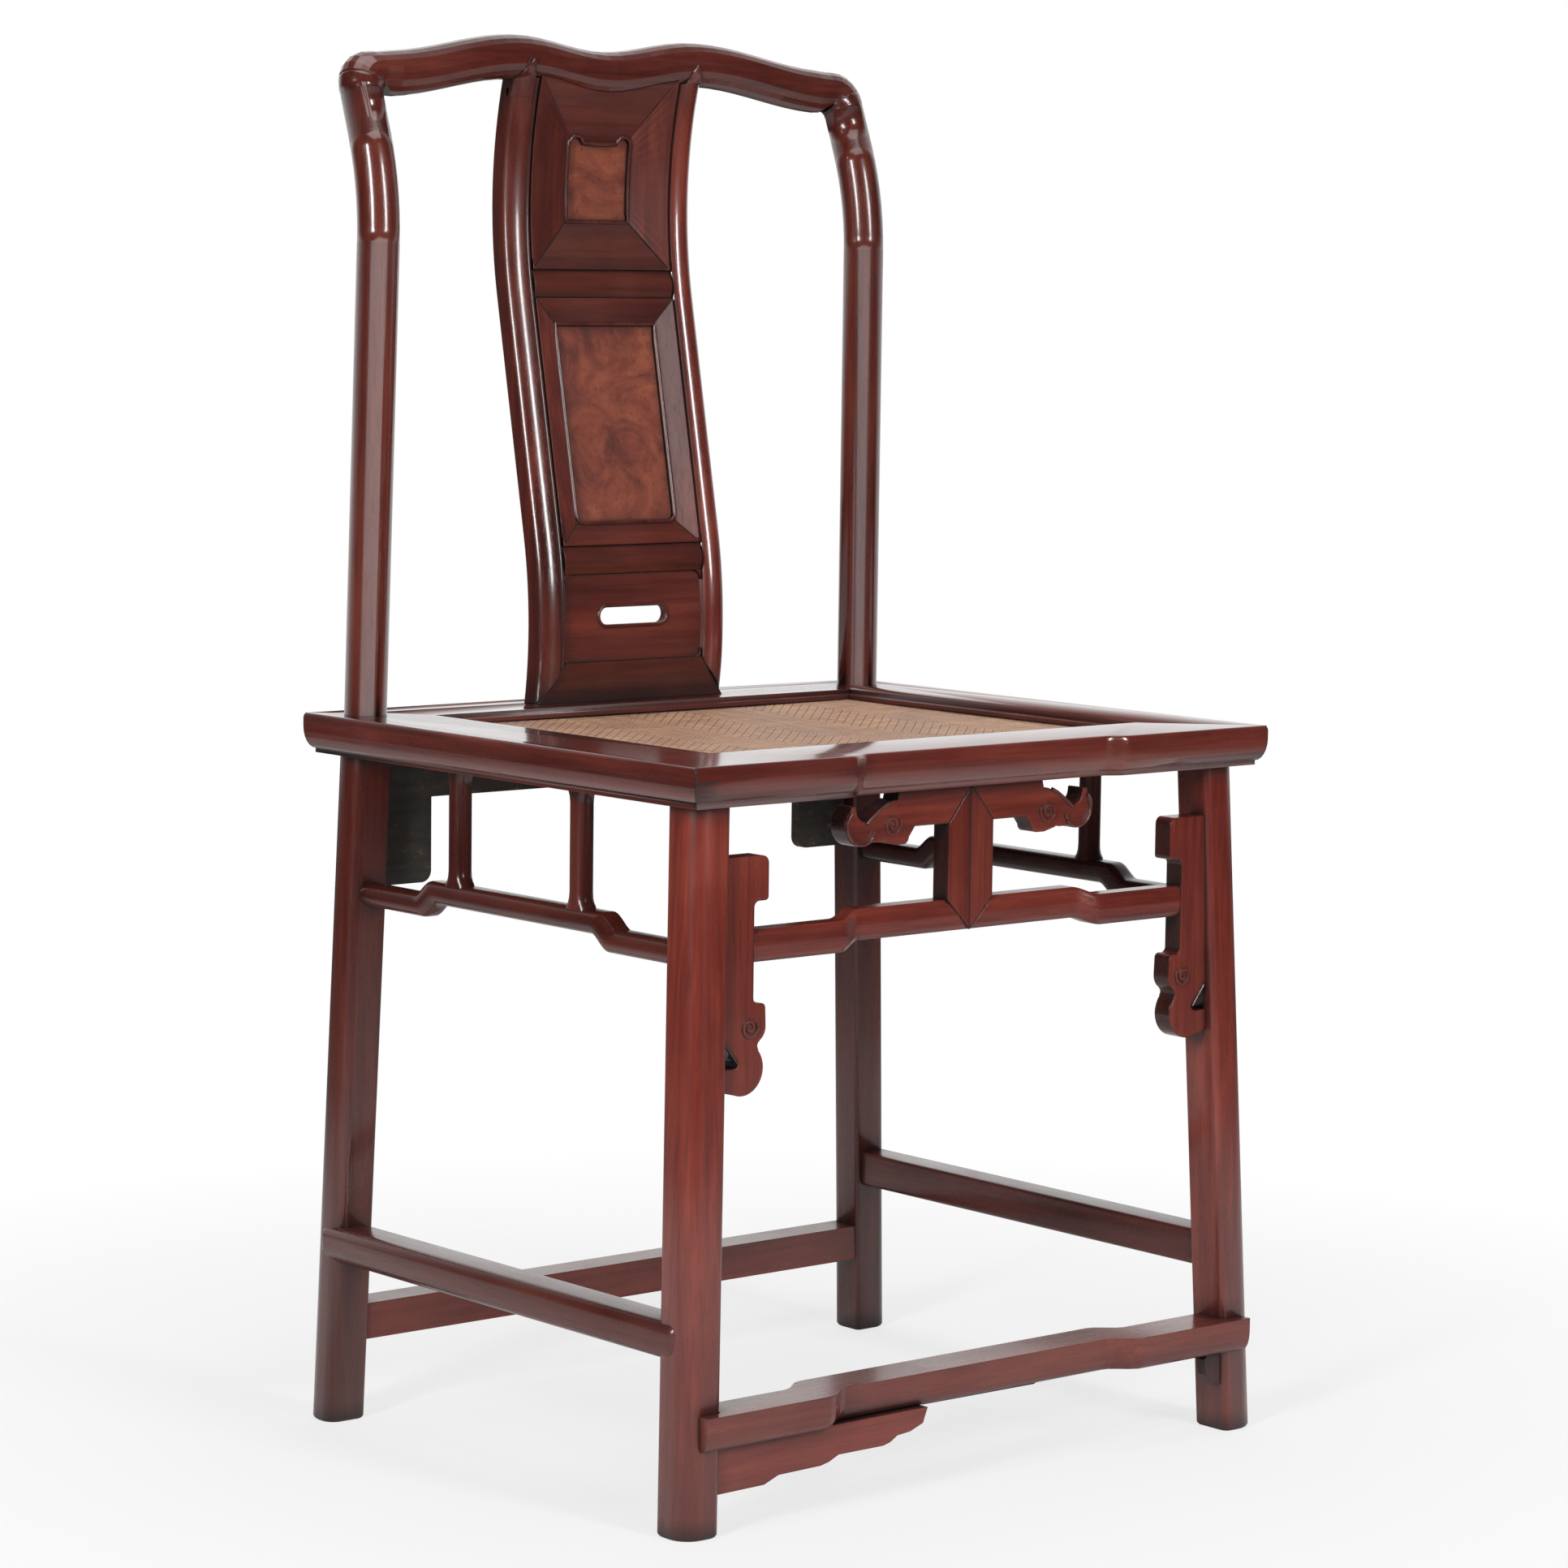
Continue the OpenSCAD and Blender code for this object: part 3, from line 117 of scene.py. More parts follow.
def placed(tree, where, shift=(0, 0, 0), scale=(1, 1, 1)):
    """Coordinates moved and scaled."""
    return add(
        tree, "ShaderNodeMapping", {"Vector": where, "Location": shift, "Scale": scale}
    ).outputs[0]


def remap(tree, value, low, high, to_low=0.0, to_high=1.0):
    """Value taken from one range to another, and held inside it."""
    limits = {"From Min": low, "From Max": high, "To Min": to_low, "To Max": to_high}
    return add(tree, "ShaderNodeMapRange", {"Value": value, **limits}).outputs[0]


def dot(tree, a, b):
    """Dot product of two vectors."""
    return add(
        tree, "ShaderNodeVectorMath", {0: a, 1: b}, operation="DOT_PRODUCT"
    ).outputs["Value"]


def new_material(name):
    """Empty material, its tree, its Principled shader and the object's own coordinates."""
    material = bpy.data.materials.new(name)
    material.use_nodes = True
    tree = material.node_tree
    tree.nodes.clear()
    shader = add(tree, "ShaderNodeBsdfPrincipled")
    add(tree, "ShaderNodeOutputMaterial", {"Surface": shader.outputs[0]})
    place = add(tree, "ShaderNodeTexCoord").outputs["Object"]
    return material, tree, shader, place


def crevice(tree, reach):
    """1 on an open surface and 0 deep in a joint or corner; the materials paint shade there by it.
    """
    return add(
        tree, "ShaderNodeAmbientOcclusion", {"Distance": reach}, samples=6
    ).outputs["AO"]


def rounded_edge(tree, radius):
    """Normal that rounds sharp edges, and how far it turns from the face's own."""
    soft = add(tree, "ShaderNodeBevel", {"Radius": radius}, samples=4).outputs[0]
    own = add(tree, "ShaderNodeNewGeometry").outputs["Normal"]
    return soft, maths(tree, "SUBTRACT", 1.0, dot(tree, soft, own))


# ---------------- hardwood
GRAIN_SCALE = {"x": (0.05, 1.0, 1.0), "y": (1.0, 0.05, 1.0), "z": (1.0, 1.0, 0.05)}
RED_WOOD = ((0.062, 0.0095, 0.0075), (0.148, 0.0235, 0.0155), (0.255, 0.048, 0.027))
DARK_WOOD = ((0.022, 0.007, 0.007), (0.052, 0.014, 0.012), (0.095, 0.025, 0.019))
# Colours that the wood turns towards low down: pale on the stretchers, dark on the legs
PALE_LOW_TONE, DARK_LOW_TONE = (0.098, 0.048, 0.043, 1.0), (0.040, 0.030, 0.030, 1.0)
# Near black for the sideways faces of the apron pieces: painted shade
SIDE_SHADE = (0.010, 0.006, 0.006, 1.0)


def seam_darkness(tree, where, planes):
    """0 on a mitre line and 1 away from it.

    A plane is (a, b, c, d): the joint lies where a |x| + b |y| + c z = d, with a unit normal."""
    parts = add(tree, "ShaderNodeSeparateXYZ", {0: where}).outputs
    across, deep = maths(tree, "ABSOLUTE", parts[0]), maths(tree, "ABSOLUTE", parts[1])
    folded = add(tree, "ShaderNodeCombineXYZ", {0: across, 1: deep, 2: parts[2]}).outputs[0]
    kept = None
    for a, b, c, d in planes:
        along = dot(tree, folded, (a, b, c))
        off = maths(tree, "ABSOLUTE", maths(tree, "SUBTRACT", along, d))
        clear = remap(tree, off, 0.0003, 0.0009)
        kept = clear if kept is None else maths(tree, "MINIMUM", kept, clear)
    return kept


def hardwood(name, grain, seed, tones, polish, mitres, kind, edge, reach):
    """Waxed hardwood whose grain runs along one axis."""
    material, tree, shader, place = new_material(name)
    own = placed(tree, place, shift=(0.37 * seed, 0.91 * seed, 0.53 * seed))
    along = placed(tree, own, scale=GRAIN_SCALE[grain])
    broad = noise(tree, along, 38.0, 5.0, 0.6, 0.7)
    streak = noise(tree, along, 190.0, 6.0, 0.65, 0.35)
    pores = noise(tree, along, 900.0, 3.0, 0.6)
    clouds = noise(tree, own, 11.0, 3.0, 0.5, 0.4)
    figure = weighted(tree, (broad, 0.5), (streak, 0.32), (clouds, 0.18))
    dark, middle, light = tones
    wood = ramp(tree, figure, ((0.36, dark), (0.5, middle), (0.66, light)))
    pore_line = remap(tree, pores, 0.34, 0.46)
    pore = maths(tree, "SUBTRACT", 1.0, pore_line)
    pore_colour = (dark[0] * 0.5, dark[1] * 0.5, dark[2] * 0.5, 1.0)
    wood = mixed(tree, maths(tree, "MULTIPLY", pore, 0.28), wood, pore_colour)
    height = add(tree, "ShaderNodeSeparateXYZ", {0: place}).outputs[2]
    # Towards the floor the wood turns to another colour: darker on the legs, paler elsewhere
    low_down = remap(tree, height, 0.26, 0.02, 0.0, 0.42)
    low_tint = maths(tree, "MULTIPLY", low_down, remap(tree, clouds, 0.3, 0.6, 0.5, 1.0))
    wood = mixed(tree, low_tint, wood, DARK_LOW_TONE if kind == "leg" else PALE_LOW_TONE)
    if kind == "shade_sided":
        # Faces that turn sideways are painted near black: painted shade on the boards' thin sides
        facing = add(tree, "ShaderNodeNewGeometry").outputs["True Normal"]
        sideways = add(tree, "ShaderNodeSeparateXYZ", {0: facing}).outputs[0]
        sideways = maths(tree, "ABSOLUTE", sideways)
        wood = mixed(tree, remap(tree, sideways, 0.45, 0.85, 0.0, 0.82), wood, SIDE_SHADE)
    soft, turned = rounded_edge(tree, edge)
    # Lighter, greyer edges: partly wear, partly a painted sheen where a rounded edge would catch
    # the light
    on_edge = remap(tree, turned, 0.03, 0.22, 0.0, 0.55)
    wear_and_sheen = maths(tree, "MULTIPLY", on_edge, remap(tree, clouds, 0.4, 0.62))
    wood = mixed(tree, wear_and_sheen, wood, (light[0] * 1.25, light[1] * 1.35, light[2] * 1.4, 1.0))
    # 1 on open wood and 0 deep in a corner, where shade is painted; the mitre lines, which are
    # dark joints, are multiplied in below
    shade_and_joints = maths(tree, "POWER", crevice(tree, reach), remap(tree, clouds, 0.35, 0.65, 2.4, 1.5))
    if mitres:
        seam = remap(tree, seam_darkness(tree, place, mitres), 0.0, 1.0, 0.15, 1.0)
        shade_and_joints = maths(tree, "MULTIPLY", shade_and_joints, seam)
    # Painted shade: near black deep in corners, together with the dark mitre joints
    wood = mixed(tree, shade_and_joints, (0.006, 0.0035, 0.0035, 1.0), wood)
    dull = max(0.0, 1 - polish)
    waxed = remap(tree, clouds, 0.35, 0.65, 0.20, 0.30)
    roughness = maths(tree, "ADD", waxed, maths(tree, "MULTIPLY", pore, 0.1))
    dusty = remap(tree, shade_and_joints, 0.2, 0.9, 0.25 + 0.3 * dull, 0.3 * dull)
    relief = weighted(tree, (pore_line, 0.5), (streak, 0.9))
    bump = add(
        tree,
        "ShaderNodeBump",
        {"Strength": 0.15, "Distance": 0.0003, "Height": relief, "Normal": soft},
    )
    dressed = {
        "Base Color": wood,
        "Roughness": maths(tree, "ADD", roughness, dusty),
        "Normal": bump.outputs[0],
        "Specular IOR Level": 0.42,
        "Coat Weight": min(1.0, 0.3 * polish),
        "Coat Roughness": 0.12,
    }
    wire(tree, shader, dressed)
    return material


def burl(name):
    """Curled, mottled burl: swirls of orange-brown with small dark eyes."""
    material, tree, shader, place = new_material(name)
    swirl = noise(tree, place, 26.0, 6.0, 0.6, 2.4)
    fine = noise(tree, place, 170.0, 6.0, 0.7, 1.1)
    patch = noise(tree, placed(tree, place, shift=(0.7, 0.2, 0.4)), 13.0, 3.0, 0.5, 1.6)
    figure = weighted(tree, (swirl, 0.45), (fine, 0.2), (patch, 0.35))
    wood = ramp(
        tree,
        figure,
        (
            (0.36, (0.070, 0.015, 0.012)),
            (0.46, (0.140, 0.030, 0.018)),
            (0.54, (0.205, 0.048, 0.026)),
            (0.64, (0.280, 0.075, 0.036)),
        ),
    )
    flattened = placed(tree, place, scale=(1.0, 0.4, 0.8))
    eyes = add(
        tree, "ShaderNodeTexVoronoi", {"Vector": flattened, "Scale": 210.0, "Randomness": 1.0}
    ).outputs["Distance"]
    gathered = remap(tree, patch, 0.5, 0.62)
    eye = maths(tree, "MULTIPLY", remap(tree, eyes, 0.22, 0.08), gathered)
    wood = mixed(tree, maths(tree, "MULTIPLY", eye, 0.6), wood, (0.03, 0.010, 0.008, 1.0))
    # Painted shade: near black deep in the burl's corners and hollows
    shade_and_joints = maths(tree, "POWER", crevice(tree, 0.008), 1.6)
    wood = mixed(tree, shade_and_joints, (0.008, 0.004, 0.004, 1.0), wood)
    bump = add(tree, "ShaderNodeBump", {"Strength": 0.15, "Distance": 0.0004, "Height": fine})
    dressed = {
        "Base Color": wood,
        "Roughness": remap(tree, fine, 0.3, 0.7, 0.42, 0.56),
        "Normal": bump.outputs[0],
        "Specular IOR Level": 0.4,
        "Coat Weight": 0.1,
        "Coat Roughness": 0.25,
    }
    wire(tree, shader, dressed)
    return material


def dry_board(name):
    """Dark unpolished board with old lacquer that has chipped in places."""
    material, tree, shader, place = new_material(name)
    grain = noise(tree, placed(tree, place, scale=(0.12, 1.0, 1.0)), 120.0, 6.0, 0.7)
    cloud = noise(tree, place, 30.0, 5.0, 0.6, 0.6)
    wood = ramp(
        tree,
        weighted(tree, (grain, 0.5), (cloud, 0.5)),
        (
            (0.38, (0.020, 0.018, 0.015)),
            (0.55, (0.046, 0.040, 0.033)),
            (0.7, (0.085, 0.066, 0.045)),
        ),
    )
    chips = remap(tree, noise(tree, place, 190.0, 5.0, 0.75, 0.5), 0.58, 0.64)
    bare = maths(tree, "MULTIPLY", chips, remap(tree, cloud, 0.45, 0.6))
    wood = mixed(tree, bare, wood, (0.19, 0.12, 0.055, 1.0))
    bump = add(tree, "ShaderNodeBump", {"Strength": 0.5, "Distance": 0.0008, "Height": grain})
    rough = remap(tree, cloud, 0.3, 0.7, 0.6, 0.85)
    wire(tree, shader, {"Base Color": wood, "Roughness": rough, "Normal": bump.outputs[0]})
    return material


def split_cane(name):
    """Strands of split cane, each a little different, polished by use."""
    material, tree, shader, place = new_material(name)
    across = noise(tree, placed(tree, place, scale=(1.0, 0.05, 1.0)), 420.0, 2.0, 0.5)
    lengthwise = noise(tree, placed(tree, place, scale=(0.05, 1.0, 1.0)), 420.0, 2.0, 0.5)
    fine = noise(tree, place, 900.0, 4.0, 0.7)
    stain = noise(tree, place, 14.0, 5.0, 0.6, 0.8)
    both = maths(tree, "ADD", across, lengthwise)
    figure = weighted(tree, (both, 0.32), (fine, 0.12), (stain, 0.24))
    cane = ramp(
        tree,
        figure,
        ((0.36, (0.18, 0.078, 0.036)), (0.5, (0.41, 0.20, 0.098)), (0.64, (0.62, 0.36, 0.19))),
    )
    # Painted shade: near black deep between the strands and at the frame
    cane = mixed(tree, crevice(tree, 0.004), (0.035, 0.014, 0.008, 1.0), cane)
    bump = add(tree, "ShaderNodeBump", {"Strength": 0.3, "Distance": 0.0003, "Height": fine})
    dressed = {
        "Base Color": cane,
        "Roughness": remap(tree, stain, 0.3, 0.7, 0.42, 0.62),
        "Normal": bump.outputs[0],
        "Sheen Weight": 0.1,
    }
    wire(tree, shader, dressed)
    return material


def palm_fibre(name):
    """Twisted brown palm fibre."""
    material, tree, shader, place = new_material(name)
    hairs = noise(tree, placed(tree, place, scale=(1.0, 0.2, 1.0)), 900.0, 5.0, 0.75, 1.0)
    cross = noise(tree, placed(tree, place, scale=(0.2, 1.0, 1.0)), 900.0, 5.0, 0.75, 1.0)
    both = maths(tree, "MULTIPLY", maths(tree, "ADD", hairs, cross), 0.5)
    fibre = ramp(
        tree,
        both,
        ((0.38, (0.035, 0.016, 0.008)), (0.52, (0.13, 0.065, 0.030)), (0.66, (0.25, 0.14, 0.07))),
    )
    # Painted shade: near black deep between the strands and at the frame
    fibre = mixed(tree, crevice(tree, 0.006), (0.012, 0.006, 0.004, 1.0), fibre)
    bump = add(tree, "ShaderNodeBump", {"Strength": 0.7, "Distance": 0.001, "Height": both})
    wire(tree, shader, {"Base Color": fibre, "Roughness": 0.85, "Normal": bump.outputs[0]})
    return material


# ---------------- wood on the CAD nodes
def joint(first, second):
    """Plane along y through two points (x, z) of a mitre, for seam_darkness."""
    run, rise = second[0] - first[0], second[1] - first[1]
    length = math.hypot(run, rise)
    a, c = rise / length, -run / length
    return (a, 0.0, c, a * first[0] + c * first[1])


HALF_ROOT = math.sqrt(0.5)
SEAT_MITRES = ((HALF_ROOT, -HALF_ROOT, 0.0, (SEAT_HALF_WIDTH - SEAT_HALF_DEPTH) * HALF_ROOT),)
UPPER_MITRES = (joint((UPPER_HALF, UPPER_LOW), (FRAME_HALF, UPPER_RAIL_TOP)),)
MIDDLE_MITRES = (
    joint((MIDDLE_HALF, MIDDLE_HIGH), (FRAME_HALF, MIDDLE_FRAME_TOP)),
    joint((MIDDLE_HALF, MIDDLE_LOW), (FRAME_HALF, MIDDLE_RAIL_TOP)),
)
FOOT_MITRES = (joint((STILE_OUT, SEAT_TOP), (FRAME_HALF, BOTTOM_RAIL_TOP)),)
APRON_MIDDLE = (1.0, 0.0, 0.0, 0.0)
ARM_MITRE = joint((0.0, 0.460), (0.0195, 0.4355))
APRON_RAIL_MITRE = joint((0.0, 0.3645), (0.0195, 0.385))
# Mitre lines to darken, by the start of a piece's name
MITRES = {
    "seat_": SEAT_MITRES,
    "upper_frame": UPPER_MITRES,
    "middle_frame": MIDDLE_MITRES,
    "splat_bottom": FOOT_MITRES,
    "splat_left_stile": FOOT_MITRES,
    "splat_right_stile": FOOT_MITRES,
    "apron_rail": (APRON_MIDDLE, APRON_RAIL_MITRE),
    "apron_upright": (APRON_MIDDLE, ARM_MITRE, APRON_RAIL_MITRE),
    "apron_arm": (APRON_MIDDLE, ARM_MITRE),
}
# How far edges are rounded and painted shade reaches from a corner, in metres
CRISP_EDGE, SOFT_EDGE, NEAR_SHADE, WIDE_SHADE = 0.0012, 0.0028, 0.014, 0.030
woods = {}


def wood_for(
    grain, seed, kind, mitres=(), shade=1.0, polish=1.0, edge=CRISP_EDGE, reach=NEAR_SHADE
):
    """One material for each grain direction, board and finish."""
    key = (grain, seed, kind, mitres, shade, polish, edge, reach)
    if key not in woods:
        plain = DARK_WOOD if kind == "dark" else RED_WOOD
        # The shade scales the colours: partly the piece's own tone, partly painted light and shade
        tones = [(r * shade, g * shade**0.8, b * shade**0.8) for r, g, b in plain]
        name = f"hardwood_{grain}_{len(woods) + 1}"
        woods[key] = hardwood(name, grain, seed, tones, polish, mitres, kind, edge, reach)
    return woods[key]


def finish(node, material):
    """Gives a CAD node its material in place of the plain one."""
    for slot in nodes[node].material_slots:
        slot.material = material


# Pieces by the axis that their grain runs along
GRAIN_X = (
    "crest_rail splat_upper_rail splat_middle_rail splat_bottom_rail upper_frame_top"
    " upper_frame_bottom middle_frame_top middle_frame_bottom lower_splat_panel cane_strip_front"
    " cane_strip_rear apron_rail_left apron_rail_right apron_arm_left apron_arm_right"
    " front_foot_stretcher rear_stretcher foot_apron_left_part seat_front_rail seat_rear_rail"
).split()
GRAIN_Y = (
    "left_side_rail right_side_rail left_stretcher right_stretcher cane_strip_left"
    " cane_strip_right seat_left_rail seat_right_rail"
).split()
GRAIN_Z = (
    "front_left_leg front_right_leg rear_left_leg_and_post rear_right_leg_and_post"
    " splat_left_stile splat_right_stile upper_frame_left upper_frame_right"
    " middle_frame_left middle_frame_right left_front_strut left_rear_strut right_front_strut"
    " right_rear_strut apron_upright_left apron_upright_right apron_bracket_left"
    " apron_bracket_right"
).split()
# How bright each piece is painted and how glossy it is: start of the name, shade, polish. The
# shade is partly the wood's own tone and partly painted light and shade, darker on pieces that
# stand in shade, such as the right side rail, and lighter on lit ones
TONE_AND_LIGHT = (
    ("front_left_leg", 1.16, 1.6),
    ("front_right_leg", 1.20, 2.0),
    ("rear_left_leg", 0.66, 2.4),
    ("rear_right_leg", 0.60, 1.9),
    ("crest_rail", 0.66, 2.4),
    ("splat_left_stile", 0.62, 2.2),
    ("splat_right_stile", 1.00, 3.3),
    ("splat_", 0.52, 0.8),
    ("upper_frame_right", 0.72, 0.6),
    ("upper_frame_bottom", 0.44, 0.6),
    ("upper_frame", 0.56, 0.8),
    ("middle_frame_left", 0.90, 3.3),
    ("middle_frame", 0.62, 0.6),
    ("lower_splat_panel", 0.76, 0.8),
    ("seat_", 0.84, 3.3),
    ("left_side_rail", 0.62, 1.4),
    ("right_side_rail", 0.35, 1.0),
    ("left_stretcher", 0.62, 1.2),
    ("right_stretcher", 0.62, 1.0),
    ("rear_stretcher", 0.85, 1.0),
    ("left_", 0.58, 1.6),
    ("right_", 0.35, 1.0),
    ("apron_upright", 0.88, 1.2),
    ("apron_", 1.00, 1.4),
    ("foot_apron_left", 1.50, 0.8),
)
ROWS = (("x", GRAIN_X), ("y", GRAIN_Y), ("z", GRAIN_Z))


def wood_of(node):
    """Wood of a node, or of the piece that stands for it."""
    grain, seed = next((g, 1 + row.index(node) % 4) for g, row in ROWS if node in row)
    seams = next((MITRES[start] for start in MITRES if node.startswith(start)), ())
    tone_and_light = next((t[1:] for t in TONE_AND_LIGHT if node.startswith(t[0])), (1.0, 1.0))
    kind, edge, reach = "red", CRISP_EDGE, NEAR_SHADE
    if "_leg" in node:
        kind = "leg"
    elif node.startswith("apron"):
        # The apron pieces get painted shade on their sideways faces, and softer edges
        kind, edge = "shade_sided", SOFT_EDGE
    elif node.startswith("foot"):
        edge = SOFT_EDGE
    elif node.startswith(("upper_frame", "middle_frame", "lower_splat", "splat_")):
        # The splat's pieces get painted shade that reaches further from their corners
        reach = WIDE_SHADE
    return wood_for(grain, seed, kind, seams, *tone_and_light, edge, reach)


for _, row in ROWS:
    for member in row:
        finish(member, wood_of(member))
for member in ("left_batten", "right_batten"):
    finish(member, wood_for("y", 7, "dark", polish=0.4))
finish("foot_apron_thin_part", wood_for("x", 8, "dark", polish=0.4))
finish("foot_apron_right_stub", wood_for("z", 8, "dark", polish=0.4))
burl_wood = burl("burl_wood")
finish("upper_burl_panel", burl_wood)
finish("middle_burl_panel", burl_wood)
board = dry_board("dry_board")
for member in ("rear_apron", "rear_drop_left", "rear_drop_right"):
    finish(member, board)


# ---------------- woven seat
def woven_tree():
    """Geometry nodes that weave flat strands both ways over a sagging rectangle."""
    tree = bpy.data.node_groups.new("woven_mat", "GeometryNodeTree")
    tree.is_modifier = True
    face = tree.interface
    face.new_socket("Geometry", in_out="OUTPUT", socket_type="NodeSocketGeometry")
    for name in ("Half Width", "Half Depth", "Cover", "Strand", "Level", "Sag", "Crown"):
        face.new_socket(name, in_out="INPUT", socket_type="NodeSocketFloat")
    for name in ("Warps", "Wefts", "Over", "Turn"):
        face.new_socket(name, in_out="INPUT", socket_type="NodeSocketInt")
    face.new_socket("Material", in_out="INPUT", socket_type="NodeSocketMaterial")
    given = add(tree, "NodeGroupInput").outputs

    calc = partial(maths, tree)
    plus, minus, times = (partial(calc, kind) for kind in ("ADD", "SUBTRACT", "MULTIPLY"))

    def strands(count, crossings, half_across, half_along, is_warp):
        """Ribbons that run one way. Each has three rows of points, two edges and a crown."""
        rows = times(count, 3.0)
        size_x = minus(rows, 1.0)
        size_y = minus(crossings, 1.0)
        grid = add(
            tree,
            "GeometryNodeMeshGrid",
            {"Size X": size_x, "Size Y": size_y, "Vertices X": rows, "Vertices Y": crossings},
        ).outputs["Mesh"]
        spot = add(tree, "GeometryNodeInputPosition").outputs[0]
        parts = add(tree, "ShaderNodeSeparateXYZ", {0: spot}).outputs
        from_edge = plus(parts[0], times(size_x, 0.5))
        # Faces from one strand's last row to the next strand's first row are taken out
        last_row = calc("GREATER_THAN", calc("MODULO", calc("FLOOR", from_edge), 3.0), 1.5)
        off_middle = calc("ABSOLUTE", minus(calc("FRACT", from_edge), 0.5))
        is_gap = times(last_row, calc("LESS_THAN", off_middle, 0.25))
        grid = add(
            tree,
            "GeometryNodeDeleteGeometry",
            {"Geometry": grid, "Selection": is_gap},
            domain="FACE",
        ).outputs[0]
        row = calc("ROUND", from_edge)
        step = calc("ROUND", plus(parts[1], times(size_y, 0.5)))
        strand = calc("FLOOR", calc("DIVIDE", plus(row, 0.1), 3.0))
        side = minus(minus(row, times(strand, 3.0)), 1.0)
        pitch_across = calc("DIVIDE", times(half_across, 2.0), count)
        pitch_along = calc("DIVIDE", times(half_along, 2.0), crossings)
        offset = times(times(side, 0.5), given["Cover"])
        middle = plus(plus(strand, 0.5), offset)
        across = minus(times(middle, pitch_across), half_across)
        along = minus(times(plus(step, 0.5), pitch_along), half_along)
        warp, weft = (strand, step) if is_warp else (step, strand)
        # The twill's diagonal turns back after every run of strands, which gives a herringbone.
        turn = add(
            tree, "ShaderNodeMath", {0: warp, 1: given["Turn"]}, operation="PINGPONG"
        ).outputs[0]
        double = times(given["Over"], 2.0)
        phase = calc("MODULO", plus(turn, weft), double)
        warp_up = calc("LESS_THAN", phase, minus(given["Over"], 0.5))
        up = warp_up if is_warp else minus(1.0, warp_up)
        x, y = (across, along) if is_warp else (along, across)
        bow_x = minus(1.0, calc("POWER", calc("DIVIDE", x, given["Half Width"]), 2.0))
        bow_y = minus(1.0, calc("POWER", calc("DIVIDE", y, given["Half Depth"]), 2.0))
        sag = times(given["Sag"], times(bow_x, bow_y))
        z = minus(given["Level"], sag)
        z = minus(z, times(minus(1.0, up), given["Strand"]))
        z = minus(z, times(calc("ABSOLUTE", side), given["Crown"]))
        target = add(tree, "ShaderNodeCombineXYZ", {0: x, 1: y, 2: z}).outputs[0]
        grid = add(
            tree, "GeometryNodeSetPosition", {"Geometry": grid, "Position": target}
        ).outputs[0]
        if not is_warp:
            grid = add(tree, "GeometryNodeFlipFaces", {"Mesh": grid}).outputs[0]
        return grid

    warp_count, weft_count = given["Warps"], given["Wefts"]
    width, depth = given["Half Width"], given["Half Depth"]
    warps = strands(warp_count, weft_count, width, depth, True)
    wefts = strands(weft_count, warp_count, depth, width, False)
    joined = add(tree, "GeometryNodeJoinGeometry")
    tree.links.new(warps, joined.inputs[0])
    tree.links.new(wefts, joined.inputs[0])
    smooth = add(tree, "GeometryNodeSetShadeSmooth", {"Geometry": joined.outputs[0]}).outputs[0]
    real = add(tree, "GeometryNodeRealizeInstances", {"Geometry": smooth}).outputs[0]
    clad = add(
        tree, "GeometryNodeSetMaterial", {"Geometry": real, "Material": given["Material"]}
    ).outputs[0]
    add(tree, "NodeGroupOutput", {0: clad})
    return tree


def grown(name, tree, sizes):
    """Plain mesh made by a tree of geometry nodes with the named sizes."""
    seed_mesh = bpy.data.meshes.new(name + "_seed")
    grower = bpy.data.objects.new(name + "_grower", seed_mesh)
    link(grower)
    modifier = grower.modifiers.new("grow", "NODES")
    modifier.node_group = tree
    for item in tree.interface.items_tree:
        if item.in_out == "INPUT" and item.name in sizes:
            modifier[item.identifier] = sizes[item.name]
    evaluated = grower.evaluated_get(bpy.context.evaluated_depsgraph_get())
    mesh = bpy.data.meshes.new_from_object(evaluated)
    mesh.name = name
    bpy.data.objects.remove(grower)
    made = bpy.data.objects.new(name, mesh)
    link(made)
    return made


weave = woven_tree()
cane_mat = grown(
    "cane_mat",
    weave,
    {
        "Half Width": HOLE_HALF_X + 0.004,
        "Half Depth": HOLE_HALF_Y + 0.004,
        "Cover": 0.94,
        "Strand": 0.0006,
        "Level": CANE_TOP - 0.0001,
        "Sag": CANE_SAG,
        "Crown": 0.00022,
        "Warps": 172,
        "Wefts": 138,
        "Over": 2,
        "Turn": 24,
        "Material": split_cane("split_cane"),
    },
)
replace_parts(cane_mat, "cane_seat")
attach(cane_mat, "root")

webbing = grown(
    "palm_mat",
    weave,
    {
        "Half Width": HOLE_HALF_X + 0.006,
        "Half Depth": HOLE_HALF_Y + 0.006,
        "Cover": 0.92,
        "Strand": 0.0008,
        "Level": WEBBING_TOP - 0.0004,
        "Sag": CANE_SAG,
        "Crown": 0.0003,
        "Warps": 42,
        "Wefts": 34,
        "Over": 1,
        "Turn": 400,
        "Material": palm_fibre("palm_fibre"),
    },
)
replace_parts(webbing, "palm_webbing")
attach(webbing, "root")


# ---------------- beads and carving
SPLAT_FOOT_Y, SPLAT_SLOPE = 0.173815, math.radians(11.2)
BELLY_Z, BELLY_R, NECK_Z, NECK_R = 0.540, 0.330, 0.770, 0.330
BELLY_TOP = BELLY_Z + BELLY_R * math.sin(SPLAT_SLOPE)
BELLY_RUN = BELLY_R * (1 - math.cos(SPLAT_SLOPE))
NECK_RUN = BELLY_RUN + (NECK_Z - BELLY_TOP) * math.tan(SPLAT_SLOPE)


